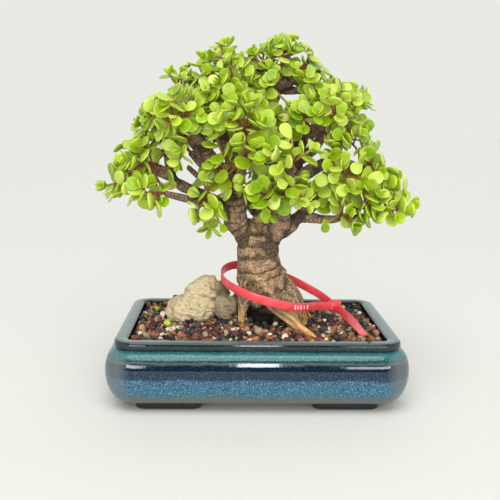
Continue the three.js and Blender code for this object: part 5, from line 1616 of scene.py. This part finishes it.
def makeFoliage():
    shoots, leaves = growFoliage()
    shapes = leafShapes()
    blade, stem = jadeLeaf(), jadeStem()
    for number in range(len(sprays)):
        mine = [shoot for shoot in shoots if shoot["number"] == number]
        lines = np.array([[along(shoot["line"], k / 6) for k in range(7)] for shoot in mine])
        stems = roundLine("stems", lines * [1, 1, 1, 0.9], 1)
        gaps = np.linalg.norm(readPoints(stems)[:, None] - lines.reshape(-1, 4)[None, :, :3], axis=2)
        writeShare(stems, "tint", np.full(len(stems.data.vertices), 0.5))
        writeShare(stems, "reach", np.tile(np.linspace(0, 1, 7), len(mine))[gaps.argmin(axis=1)])
        writeShare(stems, "rim", np.zeros(len(stems.data.vertices)))
        points, faces, tints, reaches, rims, start = [], [], [], [], [], 0
        for leaf in leaves:
            if leaf["number"] != number:
                continue
            base, baseFaces = shapes[int(leaf["shape"] * len(shapes)) % len(shapes)]
            axes = np.array([leaf["v"], leaf["n"], leaf["u"]])
            points.append(leaf["root"] + leaf["length"] * base @ axes)
            faces += [[start + corner for corner in face] for face in baseFaces]
            tints.append(np.full(len(base), leaf["tint"]))
            reaches.append(base[:, 2])
            rims.append(np.hypot(base[:, 0] / foliage["halfWidth"], (base[:, 2] - 0.58) / 0.42))
            start += len(base)
        low, high = np.array(cadLow) - 0.4, np.array(cadHigh) + 0.4
        leafPiece = meshFrom("leaves", np.clip(np.concatenate(points), low, high), faces)
        writeShare(leafPiece, "tint", np.concatenate(tints))
        writeShare(leafPiece, "reach", np.concatenate(reaches))
        writeShare(leafPiece, "rim", np.concatenate(rims))
        leafPiece.data.materials.append(blade)
        stems.data.materials.clear()
        stems.data.materials.append(stem)
        takeHold(leafPiece, stems)
        bpy.ops.object.join()
        name = f"spray_{number + 1:02d}"
        setDown(leafPiece, "leafy_" + name, [], [name], 60)
    print("foliage done")


makeFoliage()

# Studio: a plain pale floor, soft light, and the photograph's camera

def matteCard():
    # Matt card: an even, slightly warm white that takes soft shadows.
    return grainedFinish("matteCard", {"Roughness": 0.9}, {"Scale": 500, "Detail": 2},
                         [(0.3, "#D4D4CD"), (0.7, "#D8D8D1")])


def makeStudio():
    letGo()
    bpy.ops.mesh.primitive_circle_add(vertices=96, radius=14, fill_type="NGON", location=(0, 0, 0))
    ground = bpy.context.object
    ground.name = "studio_floor"
    ground.data.materials.append(matteCard())

    world = bpy.data.worlds.new("studioAir")
    bpy.context.scene.world = world
    world.use_nodes = True
    tree = world.node_tree
    tree.nodes.clear()
    seen = addNode(tree, "Background", {"Color": linear(studio["backdrop"]), "Strength": 1.0})
    fill = addNode(tree, "Background", {"Color": linear("#F1F3F5"), "Strength": studio["fill"]})
    toRoom = addNode(tree, "TexCoord").outputs["Generated"]
    way = addNode(tree, "SeparateXYZ", {"Vector": toRoom})
    beside = addNode(tree, "Math", {0: way.outputs["X"]}, operation="ABSOLUTE")
    walls = [(beside, 0.56, 0.7), (way.outputs["Z"], 0.86, 0.96), (way.outputs["Y"], 0.1, 0.35)]
    pale = 0.0
    for toward, first, last in walls:
        wall = addNode(tree, "MapRange", {"Value": toward, "From Min": first, "From Max": last})
        pale = addNode(tree, "Math", {0: wall, 1: pale}, operation="MAXIMUM")
    low, high = studio["mirrored"]
    shown = addNode(tree, "MapRange", {"Value": pale, "To Min": low, "To Max": high})
    dim = addNode(tree, "Background", {"Color": linear("#E9EEF2"), "Strength": shown})
    path = addNode(tree, "LightPath")
    room = addNode(tree, "MixShader", {0: path.outputs["Is Glossy Ray"], 1: fill, 2: dim})
    both = addNode(tree, "MixShader", {0: path.outputs["Is Camera Ray"], 1: room, 2: seen})
    addNode(tree, "OutputWorld", {"Surface": both})

    for turn, power, spread, mirrored in studio["suns"]:
        turn = [math.radians(angle) for angle in turn]
        bpy.ops.object.light_add(type="SUN", location=(0, 0, 2), rotation=turn)
        sun = bpy.context.object
        sun.data.energy, sun.data.angle, sun.visible_glossy = power, math.radians(spread), mirrored
    for place, power, width, height in studio["boxes"]:
        aim = (Vector(studio["aim"]) - Vector(place)).to_track_quat("-Z", "Y").to_euler()
        bpy.ops.object.light_add(type="AREA", location=place, rotation=aim)
        box = bpy.context.object.data
        box.shape = "RECTANGLE"
        box.energy, box.size, box.size_y = power, width, height

    yaw, pitch, roll = (math.radians(studio[key]) for key in ("yaw", "pitch", "roll"))
    forward = Vector((math.sin(yaw) * math.cos(pitch), math.cos(yaw) * math.cos(pitch), -math.sin(pitch)))
    right = Vector((math.cos(yaw), -math.sin(yaw), 0))
    up = right.cross(forward)
    leaned = math.cos(roll) * right + math.sin(roll) * up
    upright = -math.sin(roll) * right + math.cos(roll) * up
    bpy.ops.object.camera_add()
    camera = bpy.context.object
    camera.data.lens = studio["lens"]
    camera.data.sensor_width = 36
    camera.data.sensor_fit = "AUTO"
    turn = np.array([leaned, upright, -forward]).T
    x, y, z = (value / perMetre for value in studio["camera"])
    camera.matrix_world = Matrix([[*turn[0], x + potMiddle[0]], [*turn[1], y + potMiddle[1]], [*turn[2], z],
                                  [0, 0, 0, 1]])
    bpy.context.scene.camera = camera
    bpy.context.scene.view_settings.view_transform = "Standard"


makeStudio()
